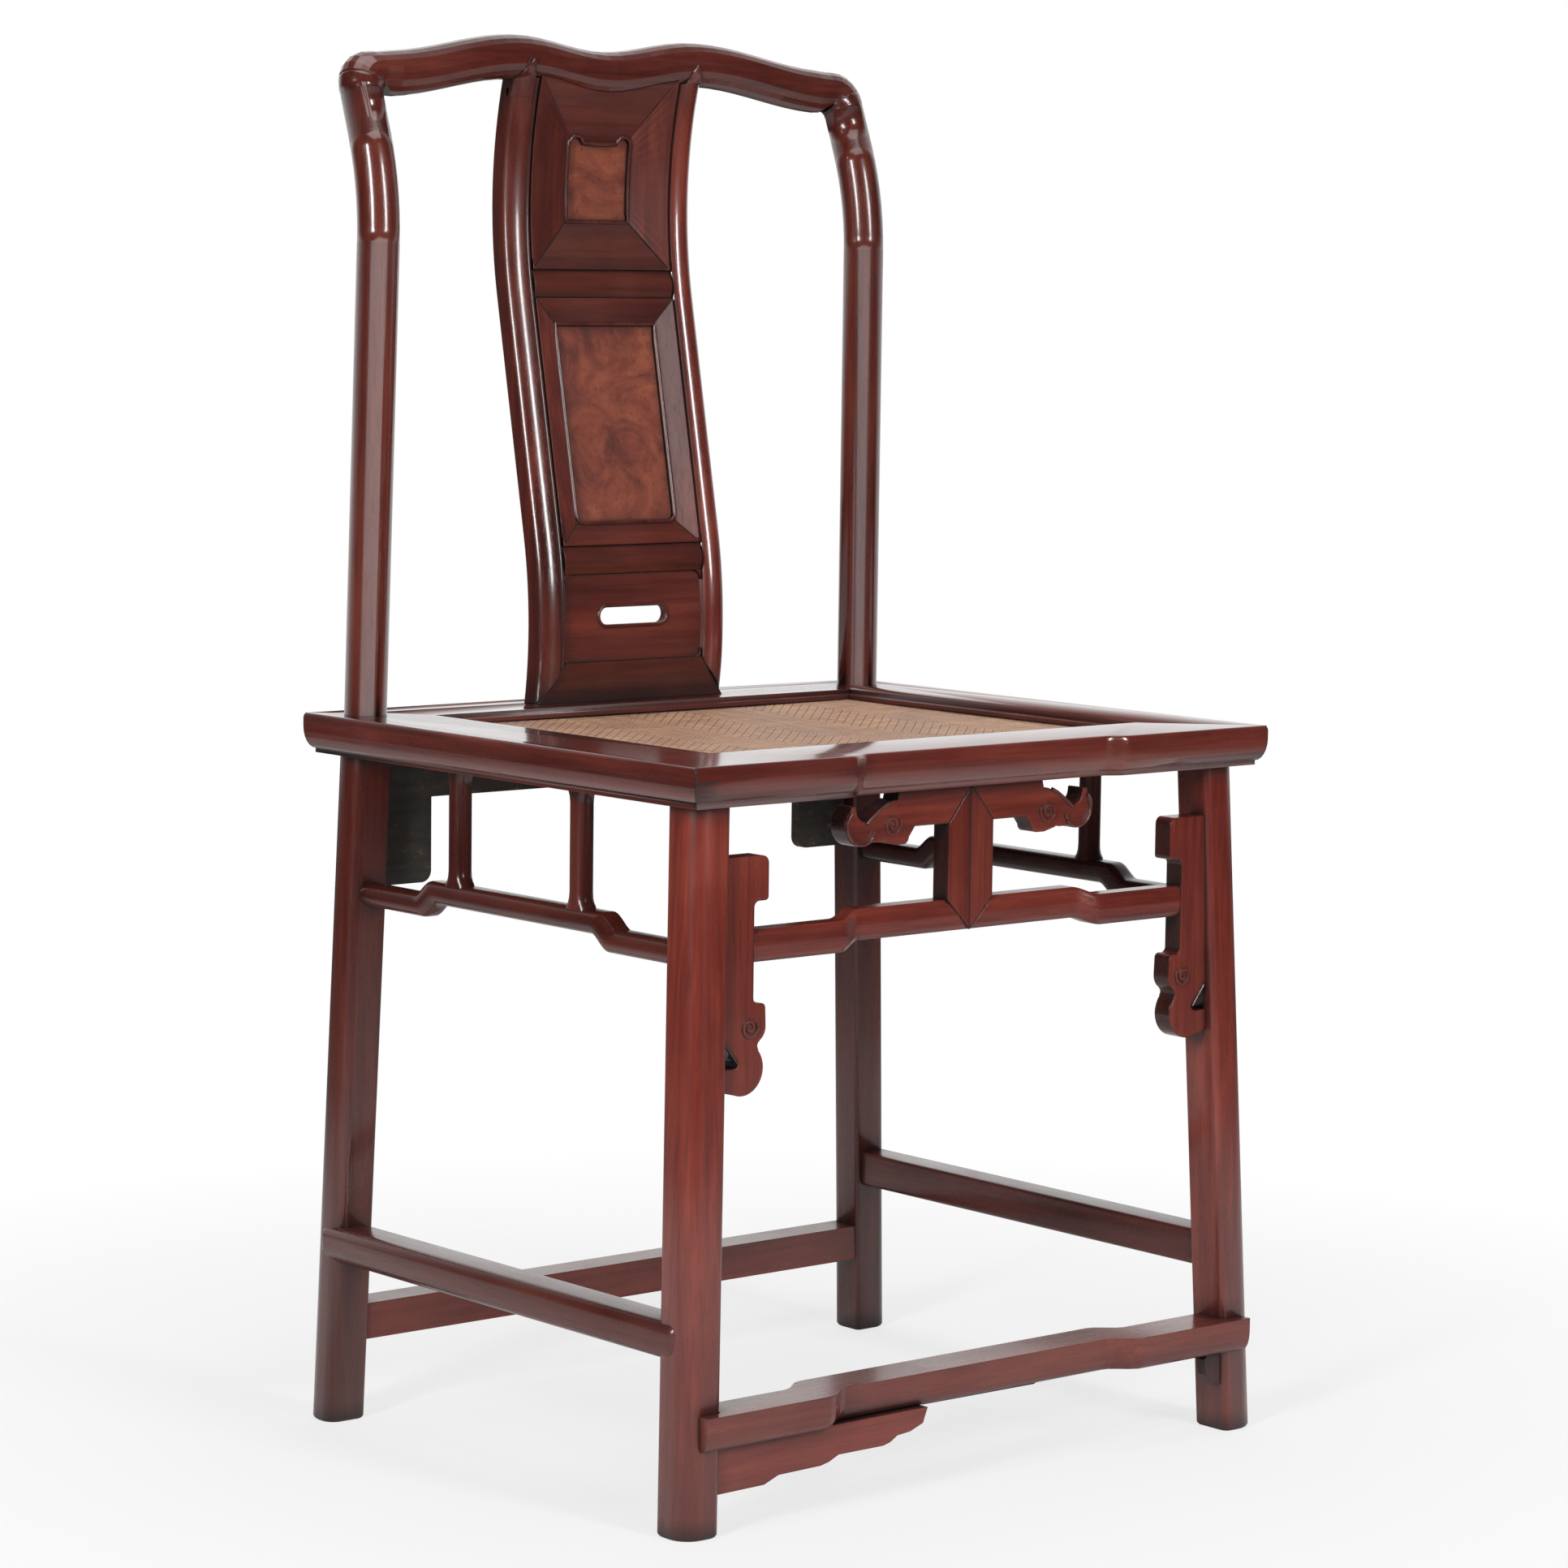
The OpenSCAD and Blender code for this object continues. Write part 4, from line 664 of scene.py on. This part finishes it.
def back_y(z):
    """Middle surface of the splat at a height."""
    if z < BELLY_TOP:
        return SPLAT_FOOT_Y + BELLY_R - math.sqrt(BELLY_R**2 - (z - BELLY_Z) ** 2)
    if z < NECK_Z:
        return SPLAT_FOOT_Y + BELLY_RUN + (z - BELLY_TOP) * math.tan(SPLAT_SLOPE)
    centre = NECK_Z + NECK_R * math.sin(SPLAT_SLOPE)
    reach = math.sqrt(NECK_R**2 - (z - centre) ** 2)
    return SPLAT_FOOT_Y + NECK_RUN - NECK_R * math.cos(SPLAT_SLOPE) + reach


CREST_Y, CREST_Z, CREST_END, CREST_R = 0.202564, 0.9195, 0.198016, 0.0155
CREST_HUMP, CREST_RISE, CREST_DIP, HUMP_RISE, CREST_SWEEP = 0.077, 0.0155, 0.0065, 0.009, 0.009


def half_wave(t):
    """Smooth rise from 0 at 0 to 1 at 1."""
    return (1 - math.cos(math.pi * t)) / 2


def crest_centre(x):
    """Depth and height (y, z) of the crest rail's middle line."""
    reach = abs(x)
    if reach > CREST_HUMP:
        lift = CREST_RISE * half_wave((CREST_END - reach) / (CREST_END - CREST_HUMP))
    else:
        lift = CREST_DIP + HUMP_RISE * half_wave(reach / CREST_HUMP)
    return CREST_Y + CREST_SWEEP * half_wave(1 - reach / CREST_END), CREST_Z + lift


def smoothed(mesh, degrees=40):
    """Smooth faces, with sharp edges where they turn by more than an angle."""
    mesh.polygons.foreach_set("use_smooth", [True] * len(mesh.polygons))
    mesh.set_sharp_from_angle(angle=math.radians(degrees))


def wooden(name, mesh):
    """Piece of polished hardwood on the chair's body."""
    made = bpy.data.objects.new(name, mesh)
    link(made)
    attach(made, "root")
    return made


def lofted(name, rings, material, closed=False):
    """Skin through rings of points that run the same way round, with capped ends."""
    count, sides = len(rings), len(rings[0])
    points = [tuple(p) for ring in rings for p in ring]
    faces = []
    for j in range(count if closed else count - 1):
        low, high = j * sides, (j + 1) % count * sides
        faces += [
            (low + i, low + (i + 1) % sides, high + (i + 1) % sides, high + i)
            for i in range(sides)
        ]
    if not closed:
        faces.append(tuple(range(sides - 1, -1, -1)))
        faces.append(tuple((count - 1) * sides + i for i in range(sides)))
    mesh = bpy.data.meshes.new(name)
    mesh.from_pydata(points, [], faces)
    mesh.materials.append(material)
    smoothed(mesh)
    return wooden(name, mesh)


def stand_in(rings, node):
    """Skin through rings that replaces a CAD node."""
    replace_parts(lofted(f"rounded_{node}", rings, wood_of(node)), node)


def mirrored(rings, axis):
    """The same rings on the other side of the chair, still with their faces outwards."""
    sign = tuple(-1 if k == axis else 1 for k in range(3))
    return [
        [tuple(v * t for v, t in zip(point, sign)) for point in reversed(ring)] for ring in rings
    ]


BEAD_SIDES = 10


def bead(name, path, radius, material, closed=False):
    """Round bead along a path of (x, y, z) points that lies on a front."""
    rings = []
    forward = Vector((0, -1, 0))
    spots = [Vector(p) for p in path]
    for i, spot in enumerate(spots):
        before = spots[i - 1] if i or closed else spot
        after = spots[(i + 1) % len(spots)] if i + 1 < len(spots) or closed else spot
        side = (after - before).cross(forward).normalized()
        turns = [math.tau * k / BEAD_SIDES for k in range(BEAD_SIDES)]
        rings.append(
            [spot + radius * math.cos(t) * side + radius * math.sin(t) * forward for t in turns]
        )
    return lofted(name, rings, material, closed)


def curve(centre, radius, start, end, count, rise=None):
    """Points of an arc, in degrees. An elliptical one has another radius as its rise."""
    turns = [math.radians(start + (end - start) * i / count) for i in range(count + 1)]
    rise = radius if rise is None else rise
    return [(centre[0] + radius * math.cos(t), centre[1] + rise * math.sin(t)) for t in turns]


def between(first, second, count):
    """Points (x, z) after the first of a straight line up to the second."""
    run, rise = second[0] - first[0], second[1] - first[1]
    return [(first[0] + run * i / count, first[1] + rise * i / count) for i in range(1, count + 1)]


bead_wood = wood_for("z", 9, "red", shade=0.6, polish=1.8)
# How far the beads, the frames' corners and the lower panel's corners stand forward
LIP, FRAME_FRONT, PANEL_FRONT = 0.0045, 0.0088, 0.0068
PANEL_ROUND, FRAME_ROUND, WEDGE_DEPTH, WEDGE_STEPS = 0.006, 0.0065, 0.004, 6


def on_splat(outline, front):
    """Outline (x, z) laid on the curve of the back, and moved forward."""
    return [(x, back_y(z) - front, z) for x, z in outline]


def corner_wedge(name, side, corner_x, corner_z, upwards, radius, front):
    """Fills a corner of an opening in the splat, so that the corner is round."""
    turn = 1 if upwards else -1
    centre = (corner_x - radius, corner_z + turn * radius)
    turns = [math.radians(90 * i / WEDGE_STEPS) for i in range(WEDGE_STEPS + 1)]
    edge = [
        (centre[0] + radius * math.cos(t), centre[1] - turn * radius * math.sin(t)) for t in turns
    ]
    outline = [(side * x, z) for x, z in [(corner_x, corner_z)] + edge[::-1]]
    if side * turn > 0:
        outline.reverse()
    lofted(name, [on_splat(outline, front - WEDGE_DEPTH), on_splat(outline, front)], bead_wood)


# Bead round the upper burl panel, with its two lobes
lobes_right = curve((0.0211, 0.8760), 0.0065, 0, 166, 10)
upper_edge = [(-UPPER_HALF, UPPER_LOW)]
upper_edge += between((-UPPER_HALF, UPPER_LOW), (UPPER_HALF, UPPER_LOW), 4)
upper_edge += between((UPPER_HALF, UPPER_LOW), (UPPER_HALF, 0.8700), 5)
upper_edge += lobes_right + [(0.0, 0.8770)] + [(-x, z) for x, z in reversed(lobes_right)]
upper_edge += between((-UPPER_HALF, 0.8755), (-UPPER_HALF, 0.8260), 5)
bead("upper_panel_bead", on_splat(upper_edge, LIP), 0.0015, bead_wood, closed=True)

# Bead round the middle burl panel, with round lower corners
middle_edge = curve((-0.038, 0.618), PANEL_ROUND, 180, 270, 6)
middle_edge += curve((0.038, 0.618), PANEL_ROUND, 270, 360, 6)
middle_edge += between((MIDDLE_HALF, 0.618), (MIDDLE_HALF, MIDDLE_HIGH), 14)
middle_edge += between((MIDDLE_HALF, MIDDLE_HIGH), (-MIDDLE_HALF, MIDDLE_HIGH), 4)
middle_edge += between((-MIDDLE_HALF, MIDDLE_HIGH), (-MIDDLE_HALF, 0.622), 13)
bead("middle_panel_bead", on_splat(middle_edge, LIP), 0.0016, bead_wood, closed=True)

# Small wedges that round the corners of the frames and the openings
WEDGES = (
    ("middle_panel_wedge", MIDDLE_HALF, MIDDLE_LOW, True, PANEL_ROUND, LIP + 0.0002),
    ("middle_frame_wedge", FRAME_HALF, MIDDLE_RAIL_TOP, True, FRAME_ROUND, FRAME_FRONT),
    ("upper_frame_wedge", FRAME_HALF, UPPER_RAIL_TOP, True, FRAME_ROUND, FRAME_FRONT),
    ("lower_panel_low_wedge", FRAME_HALF, BOTTOM_RAIL_TOP, True, FRAME_ROUND, PANEL_FRONT),
    ("lower_panel_high_wedge", FRAME_HALF, LOWER_PANEL_TOP, False, FRAME_ROUND, PANEL_FRONT),
)
for side, name in SIDES:
    for start, *form in WEDGES:
        corner_wedge(f"{start}_{name}", side, *form)

# Bead round the finger slot
slot_edge = curve((0.02325, 0.547), 0.0072, -90, 90, 10)
slot_edge += curve((-0.02325, 0.547), 0.0072, 90, 270, 10)
bead("slot_bead", on_splat(slot_edge, LIP), 0.0013, bead_wood, closed=True)

# Stiles: sections are (distance from the middle, depth behind the middle surface)
LEFT_CROWN, LEFT_ROUND, RIGHT_CROWN = 0.0675, 0.0150, 0.0735
STILE_BASE, STILE_PROUD, INNER_STEP = 0.0010, 0.0092, 0.0028
STILE_TOP, STILE_FOOT, STILE_WIDTH, STILE_LEVELS = 0.9210, 0.028, 0.0215, 48
BACK_EDGE = [(FRAME_HALF, 0.0080), (0.0630, 0.0100), (0.0805, 0.0100)]
# The left one is a quarter round that falls to the outside, with a narrow bead inside it
LEFT_SECTION = [(STILE_OUT, 0.008)]
LEFT_SECTION += curve((LEFT_CROWN, -STILE_BASE), LEFT_ROUND, 0, 90, 16, -STILE_PROUD)
LEFT_SECTION += [(0.0670, -0.0100), (0.0666, -0.0096), (0.0664, -0.0088), (0.0664, -0.0050)]
LEFT_SECTION += curve((0.0637, -0.0050), 0.0027, 0, 180, 8, -0.0034)[1:-1]
LEFT_SECTION += [(FRAME_HALF, -0.0040)] + BACK_EDGE
# The right one is a fuller round, whose inner side ends in a small step
inner_base, inner_depth = STILE_BASE + INNER_STEP, STILE_PROUD - INNER_STEP
RIGHT_SECTION = [(STILE_OUT, 0.008)]
RIGHT_SECTION += curve((RIGHT_CROWN, -STILE_BASE), 0.0090, 0, 90, 12, -STILE_PROUD)
RIGHT_SECTION += curve((RIGHT_CROWN, -inner_base), 0.0108, 90, 172, 12, -inner_depth)[1:]
RIGHT_SECTION += [(0.0617, -0.0040), (FRAME_HALF, -0.0040)] + BACK_EDGE


def stile_rings(section):
    """A left stile along the curve of the back, its foot cut to the bottom rail's mitre."""
    rings = []
    for j in range(STILE_LEVELS + 1):
        ring = []
        for reach, depth in section:
            low = SEAT_TOP + STILE_FOOT * (STILE_OUT - reach) / STILE_WIDTH
            z = low + (STILE_TOP - low) * j / STILE_LEVELS
            ring.append((-reach, back_y(z) + depth, z))
        rings.append(ring)
    return rings


def stile_front(section, reach):
    """How far a stile stands before the middle surface, at a distance from the middle."""
    front = sorted((x, -y) for x, y in section if y < 0)
    for (x, y), (next_x, next_y) in zip(front, front[1:]):
        if x <= reach <= next_x:
            return y + (next_y - y) * (reach - x) / max(next_x - x, 1e-6)
    return STILE_BASE


# A tongue keeps the stile's width up to TONGUE_NARROWS, and ends TONGUE_RUN above it
TONGUE_LOW, TONGUE_HEIGHT, TONGUE_NARROWS, TONGUE_RUN = 0.908, 0.0265, 0.914, 0.0205
TONGUE_INNER, TONGUE_DEPTH, TONGUE_LEVELS, TONGUE_HALF_STEPS = 0.0664, 0.004, 24, 6


def tongue_ring(section, z, inner, outer, rise):
    """Section of a left tongue at a height, before both the crest rail and the stile."""
    front = []
    for k in range(2 * TONGUE_HALF_STEPS + 1):
        u = -1 + k / TONGUE_HALF_STEPS
        x = -((inner + outer) / 2 - u * (outer - inner) / 2)
        centre_y, centre_z = crest_centre(x)
        drop = min(1.0, abs(z - centre_z) / CREST_R)
        crest_front = centre_y - CREST_R * math.sqrt(1 - drop**2)
        swell = 0.0009 + 0.0018 * math.sqrt(max(0.0, 1 - u * u)) * (1 - 0.5 * rise)
        on_stile = back_y(z) - stile_front(section, -x) - 0.0002
        front.append((x, min(crest_front - swell, on_stile), z))
    return front + [(x, y + TONGUE_DEPTH, z) for x, y, z in reversed(front)]


def tongue_rings(section):
    """The round of a stile, narrowing to a point on the crest rail."""
    rings = []
    for j in range(TONGUE_LEVELS + 1):
        z = TONGUE_LOW + TONGUE_HEIGHT * j / TONGUE_LEVELS
        rise = max(0.0, (z - TONGUE_NARROWS) / TONGUE_RUN)
        narrow = rise**1.8
        inner, outer = TONGUE_INNER + 0.0060 * narrow, STILE_OUT - 0.0098 * narrow
        rings.append(tongue_ring(section, z, inner, outer, rise))
    return rings


for name, section in (("left", LEFT_SECTION), ("right", RIGHT_SECTION)):
    node = f"splat_{name}_stile"
    stile, tongue = stile_rings(section), tongue_rings(section)
    if name == "right":
        stile, tongue = mirrored(stile, 0), mirrored(tongue, 0)
    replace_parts(lofted(f"rounded_{name}_stile", stile, wood_of(node)), node)
    lofted(f"stile_tongue_{name}", tongue, wood_of(node))

# Raised lines of the carving on the arms and the brackets
ARM_FRONT, BRACKET_FRONT = -0.189787, -0.195787
CARVED_LINES = (
    (
        "arm_ridge",
        ARM_FRONT,
        [(0.0715, 0.4525), (0.0765, 0.4500), (0.0815, 0.4466), (0.0865, 0.4430), (0.0905, 0.4395)],
        0.0011,
    ),
    ("curl_rim", ARM_FRONT - 0.0006, curve((0.0945, 0.4385), 0.0122, -140, 44, 16), 0.0011),
    ("tail_ridge", BRACKET_FRONT, between((0.2135, 0.3135), (0.2000, 0.2965), 5), 0.0012),
)
for side, name in SIDES:
    for start, front, line, radius in CARVED_LINES:
        bead(f"{start}_{name}", [(side * x, front, z) for x, z in line], radius, bead_wood)


# ---------------- rounded legs, rails and struts
def rounded_outline(low, high, radii, steps=6):
    """Rectangle (u, w) with round corners, anticlockwise from its low corner."""
    (u0, w0), (u1, w1) = low, high
    corners = ((u0, w0, 1, 1), (u1, w0, -1, 1), (u1, w1, -1, -1), (u0, w1, 1, -1))
    outline = []
    for turn, ((u, w, along, up), radius) in enumerate(zip(corners, radii)):
        for i in range(steps + 1):
            angle = math.radians(180 + 90 * turn + 90 * i / steps)
            away, over = along + math.cos(angle), up + math.sin(angle)
            outline.append((u + radius * away, w + radius * over))
    return outline


LEG_HALF, LEG_X, LEG_Y, SEAT_LOW = 0.01475, 0.221, 0.182, 0.460
SPLAY_SIDE, SPLAY_FRONT, SPLAY_BACK = 0.018, 0.017, 0.007
# Height of a ring and how far it is drawn in, at the foot's worn edge and above it
LEG_LEVELS = ((0.0, 0.0016), (0.0006, 0.0008), (0.0020, 0.0), (0.23, 0.0), (SEAT_LOW, 0.0))
WELD = 0.000002


def leg_rings(splay, radii):
    """Rings of a left leg that leans outwards; its round corner is at -x -y."""
    rings = []
    for z, inset in LEG_LEVELS:
        down = (SEAT_TOP - z) / SEAT_TOP
        x, y = -LEG_X - SPLAY_SIDE * down, -LEG_Y - splay * down
        reach = LEG_HALF - inset
        outline = rounded_outline((x - reach, y - reach), (x + reach, y + reach), radii, 8)
        rings.append([(u, w, z) for u, w in outline])
    return rings


front_leg = leg_rings(SPLAY_FRONT, (0.0138, 0.005, 0.002, 0.005))
rear_leg = mirrored(leg_rings(SPLAY_BACK, (0.0138, 0.009, 0.003, 0.009)), 1)
stand_in(front_leg, "front_left_leg")
stand_in(mirrored(front_leg, 0), "front_right_leg")


def merged_copy(node):
    """Copy of a CAD node's mesh with its faces joined."""
    shape = bmesh.new()
    shape.from_mesh(nodes[node].data)
    bmesh.ops.remove_doubles(shape, verts=shape.verts, dist=WELD)
    return shape


def cut_level(shape, level, **settings):
    """Cuts a shape at a height, and gives back the cut."""
    return bmesh.ops.bisect_plane(
        shape,
        geom=shape.verts[:] + shape.edges[:] + shape.faces[:],
        plane_co=(0, 0, level),
        plane_no=(0, 0, 1),
        **settings,
    )["geom_cut"]


def post_above_seat(node):
    """Copy of a rear leg's post, cut off at the underside of the seat frame."""
    shape = merged_copy(node)
    cut = cut_level(shape, SEAT_LOW - 0.0001, clear_inner=True)
    bmesh.ops.contextual_create(shape, geom=[e for e in cut if isinstance(e, bmesh.types.BMEdge)])
    bmesh.ops.recalc_face_normals(shape, faces=shape.faces)
    return shape


for name, rings in (("left", rear_leg), ("right", mirrored(rear_leg, 0))):
    node = f"rear_{name}_leg_and_post"
    made = lofted(f"rounded_{node}", rings, wood_of(node))
    shape = post_above_seat(node)
    shape.from_mesh(made.data)
    shape.to_mesh(made.data)
    shape.free()
    smoothed(made.data)
    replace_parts(made, node)

# Humped side rails with a rounded section; the underside's steps stand nearer the middle
RAIL_X, RAIL_Z, RAIL_HALF_D, RAIL_H, RAIL_RISE = 0.224509, 0.3575, 0.009, 0.015, 0.010
RAIL_STEP, RAIL_LOW_SHIFT, RAIL_RUN = 0.102, 0.010, 0.018


def hump(y, at):
    """1 on the raised middle of a side rail and 0 past its step."""
    t = min(1.0, max(0.0, (abs(y) - at + RAIL_RUN / 2) / RAIL_RUN))
    return 1 - t * t * (3 - 2 * t)


def side_rail_rings():
    """The left side rail, with closer rings at its steps."""
    rings = []
    radii = (0.0065, 0.004, 0.004, 0.0065)
    outline = rounded_outline((-RAIL_X - RAIL_HALF_D, 0.0), (-RAIL_X + RAIL_HALF_D, RAIL_H), radii)
    stops = [0.172] + [0.112 - 0.0014 * i for i in range(23)]
    for y in stops + [-s for s in reversed(stops)]:
        ring = []
        for x, w in outline:
            at = RAIL_STEP - RAIL_LOW_SHIFT * (1 - w / RAIL_H)
            ring.append((x, y, RAIL_Z + w + RAIL_RISE * hump(y, at)))
        rings.append(ring)
    return rings


rail = side_rail_rings()
stand_in(rail, "left_side_rail")
stand_in(mirrored(rail, 0), "right_side_rail")

# Struts with round corners and flared ends: height of a ring and its flare
STRUT_LOW, STRUT_AT, STRUT_HALF, STRUT_RADII = 0.3825, 0.066, 0.0071, (0.0058,) * 4
STRUT_LEVELS = (
    (-0.0015, 0.0040),
    (0.0010, 0.0032),
    (0.0030, 0.0016),
    (0.0060, 0.0005),
    (0.0100, 0.0),
    (0.0675, 0.0),
    (0.0720, 0.0006),
    (0.0775, 0.0030),
)
for side, name in SIDES:
    for end, place in ((-1, "front"), (1, "rear")):
        x, y = side * RAIL_X, end * STRUT_AT
        rings = []
        for up, flare in STRUT_LEVELS:
            low = (x - STRUT_HALF, y - STRUT_HALF - flare)
            high = (x + STRUT_HALF, y + STRUT_HALF + flare)
            outline = rounded_outline(low, high, STRUT_RADII)
            rings.append([(u, w, STRUT_LOW + up) for u, w in outline])
        stand_in(rings, f"{name}_{place}_strut")

# Side stretchers whose outer face bulges, and is drawn in at the legs
SIDE_BAR_X, SIDE_BAR_W, SIDE_BAR_TOP, SIDE_BAR_H = 0.2517, 0.027, 0.136, 0.025
SIDE_BAR_FRONT, SIDE_BAR_REAR = -0.1990, 0.1925
# How far a ring stands from the end, and how far it is drawn in there
END_RINGS = ((0.0, 0.0070), (0.0008, 0.0046), (0.0022, 0.0026), (0.0045, 0.0010), (0.0075, 0.0))


def side_stretcher_rings():
    """The left side stretcher."""
    rings = []
    spots = [(SIDE_BAR_REAR - along, inset) for along, inset in END_RINGS]
    spots += [(SIDE_BAR_FRONT + along, inset) for along, inset in reversed(END_RINGS)]
    for y, inset in spots:
        outline = rounded_outline(
            (-SIDE_BAR_X + inset, SIDE_BAR_TOP - SIDE_BAR_H + 0.3 * inset),
            (-SIDE_BAR_X + SIDE_BAR_W, SIDE_BAR_TOP - 0.2 * inset),
            (0.0105, 0.003, 0.002, 0.0065),
        )
        rings.append([(x, y, z) for x, z in outline])
    return rings


bar = side_stretcher_rings()
stand_in(bar, "left_stretcher")
stand_in(mirrored(bar, 0), "right_stretcher")

# Seat rails whose top edge is rubbed round
NOSE_LOW, NOSE_INSET, NOSE_BAND, MITRE_GAP = 0.4835, 0.0020, 0.012, 0.0003
NOSE_LEVELS = (NOSE_LOW, 0.4848, 0.4857, 0.4864, 0.4868)


def nose_inset(z):
    """How far the edge is drawn in at a height: a quarter round."""
    t = min(1.0, max(0.0, (z - NOSE_LOW) / (SEAT_TOP - NOSE_LOW)))
    return NOSE_INSET * (1 - math.sqrt(1 - t * t))


def rounded_seat_rail(node, axis, sign):
    """Copy of a seat rail whose outer face is bent in towards the top."""
    shape = merged_copy(node)
    for level in NOSE_LEVELS:
        cut_level(shape, level)
    shape.normal_update()
    half = SEAT_HALF_DEPTH if axis else SEAT_HALF_WIDTH
    for corner in shape.verts:
        if corner.co.z < NOSE_LOW or sign * corner.co[axis] < half - NOSE_BAND:
            continue
        if not any(sign * face.normal[axis] > 0.3 for face in corner.link_faces):
            continue
        x, y = abs(corner.co.x), abs(corner.co.y)
        on_mitre = abs(x - y - (SEAT_HALF_WIDTH - SEAT_HALF_DEPTH)) < MITRE_GAP
        inset = nose_inset(corner.co.z)
        corner.co[axis] -= sign * inset
        if on_mitre:
            other = 1 - axis
            corner.co[other] -= math.copysign(inset, corner.co[other])
    mesh = bpy.data.meshes.new(f"round_nosed_{node}")
    shape.to_mesh(mesh)
    shape.free()
    mesh.materials.clear()
    mesh.materials.append(wood_of(node))
    mesh.polygons.foreach_set("material_index", [0] * len(mesh.polygons))
    smoothed(mesh, 30)
    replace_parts(wooden(f"round_nosed_{node}", mesh), node)


for node, axis, sign in (
    ("seat_front_rail", 1, -1),
    ("seat_rear_rail", 1, 1),
    ("seat_left_rail", 0, -1),
    ("seat_right_rail", 0, 1),
):
    rounded_seat_rail(node, axis, sign)


# ---------------- floor, light and camera
# Distances from the chair's middle that the floor changes between, and its values there
FLOOR_FADE, FLOOR_GREY = (0.40, 1.0, 0.72, 1.0), (0.8, 2.2, 0.75, 0.10)


def white_floor():
    """Matt white round the chair, where its shadow falls, that fades to plain white.

    Away from the chair it gives little light back, as the dark end of a studio does."""
    material, tree, shader, place = new_material("white_floor")
    far = add(tree, "ShaderNodeVectorMath", {0: place}, operation="LENGTH").outputs["Value"]
    fade = remap(tree, far, *FLOOR_FADE)
    table = remap(tree, far, *FLOOR_GREY)
    grey = add(tree, "ShaderNodeCombineColor", {0: table, 1: table, 2: table}).outputs[0]
    wire(tree, shader, {"Base Color": grey, "Roughness": 0.9, "Specular IOR Level": 0.0})
    seen = add(tree, "ShaderNodeLightPath").outputs["Is Camera Ray"]
    glow = add(tree, "ShaderNodeEmission", {"Color": (1, 1, 1, 1), "Strength": 1.0})
    mix = add(
        tree,
        "ShaderNodeMixShader",
        {0: maths(tree, "MULTIPLY", fade, seen), 1: shader.outputs[0], 2: glow.outputs[0]},
    )
    out = next(n for n in tree.nodes if n.type == "OUTPUT_MATERIAL")
    wire(tree, out, {"Surface": mix.outputs[0]})
    return material


FLOOR_RADIUS, FLOOR_SIDES = 6.0, 96
turns = [math.tau * i / FLOOR_SIDES for i in range(FLOOR_SIDES)]
rim = [(FLOOR_RADIUS * math.cos(t), FLOOR_RADIUS * math.sin(t), 0.0) for t in turns]
floor_mesh = bpy.data.meshes.new("floor")
floor_mesh.from_pydata(rim, [], [list(range(FLOOR_SIDES))])
floor_mesh.materials.append(white_floor())
floor = bpy.data.objects.new("floor", floor_mesh)
link(floor)


def softbox(name, place, target, size, watts):
    """Rectangular area lamp that points at a target."""
    lamp = bpy.data.lights.new(name, "AREA")
    lamp.shape = "RECTANGLE"
    lamp.size, lamp.size_y = size
    lamp.energy = watts
    held = bpy.data.objects.new(name, lamp)
    held.location = place
    aim = Vector(target) - Vector(place)
    held.rotation_euler = aim.to_track_quat("-Z", "Y").to_euler()
    link(held)


softbox("softbox_left", (-3.25, -1.15, 1.75), (0.0, 0.0, 0.60), (0.6, 1.6), 92)
softbox("softbox_front", (0.25, -3.40, 1.75), (0.0, 0.0, 0.60), (0.6, 1.6), 76)
softbox("softbox_above", (0.0, -0.2, 3.4), (0.0, 0.0, 0.4), (2.0, 2.0), 30)

world = bpy.data.worlds.new("studio")
scene.world = world
world.use_nodes = True
sky = world.node_tree
sky.nodes.clear()
towards = add(sky, "ShaderNodeTexCoord").outputs["Generated"]
# The white backdrop stands behind the chair, along the photograph's line of sight
behind = remap(sky, dot(sky, towards, (0.642, 0.766, 0.0)), 0.25, 0.75, 0.04, 1.0)
lit = add(sky, "ShaderNodeBackground", {"Color": (1, 1, 1, 1), "Strength": behind})
white = add(sky, "ShaderNodeBackground", {"Color": (1, 1, 1, 1), "Strength": 1.0})
path = add(sky, "ShaderNodeLightPath").outputs
mix = add(
    sky,
    "ShaderNodeMixShader",
    {0: path["Is Camera Ray"], 1: lit.outputs[0], 2: white.outputs[0]},
)
add(sky, "ShaderNodeOutputWorld", {"Surface": mix.outputs[0]})

# Camera solved from the seat frame, the legs and the posts of the photographed chair
AZIMUTH, ELEVATION, ROLL = math.radians(-39.97), math.radians(6.27), math.radians(0.73)
DISTANCE, TARGET = 3.236, Vector((-0.0005, 0.0, 0.4424))
along = math.cos(ELEVATION)
back = Vector((math.sin(AZIMUTH) * along, -math.cos(AZIMUTH) * along, math.sin(ELEVATION)))
level = (-back).cross(Vector((0, 0, 1))).normalized()
upright = level.cross(-back)
right = math.cos(ROLL) * level + math.sin(ROLL) * upright
up = math.cos(ROLL) * upright - math.sin(ROLL) * level
lens = bpy.data.cameras.new("photo_camera")
lens.lens, lens.sensor_width, lens.sensor_height = 109.006, 36.0, 36.0
camera = bpy.data.objects.new("photo_camera", lens)
turned = Matrix((right, up, back)).transposed().to_4x4()
camera.matrix_world = Matrix.Translation(TARGET + DISTANCE * back) @ turned
link(camera)
scene.camera = camera
scene.view_settings.view_transform = "Standard"
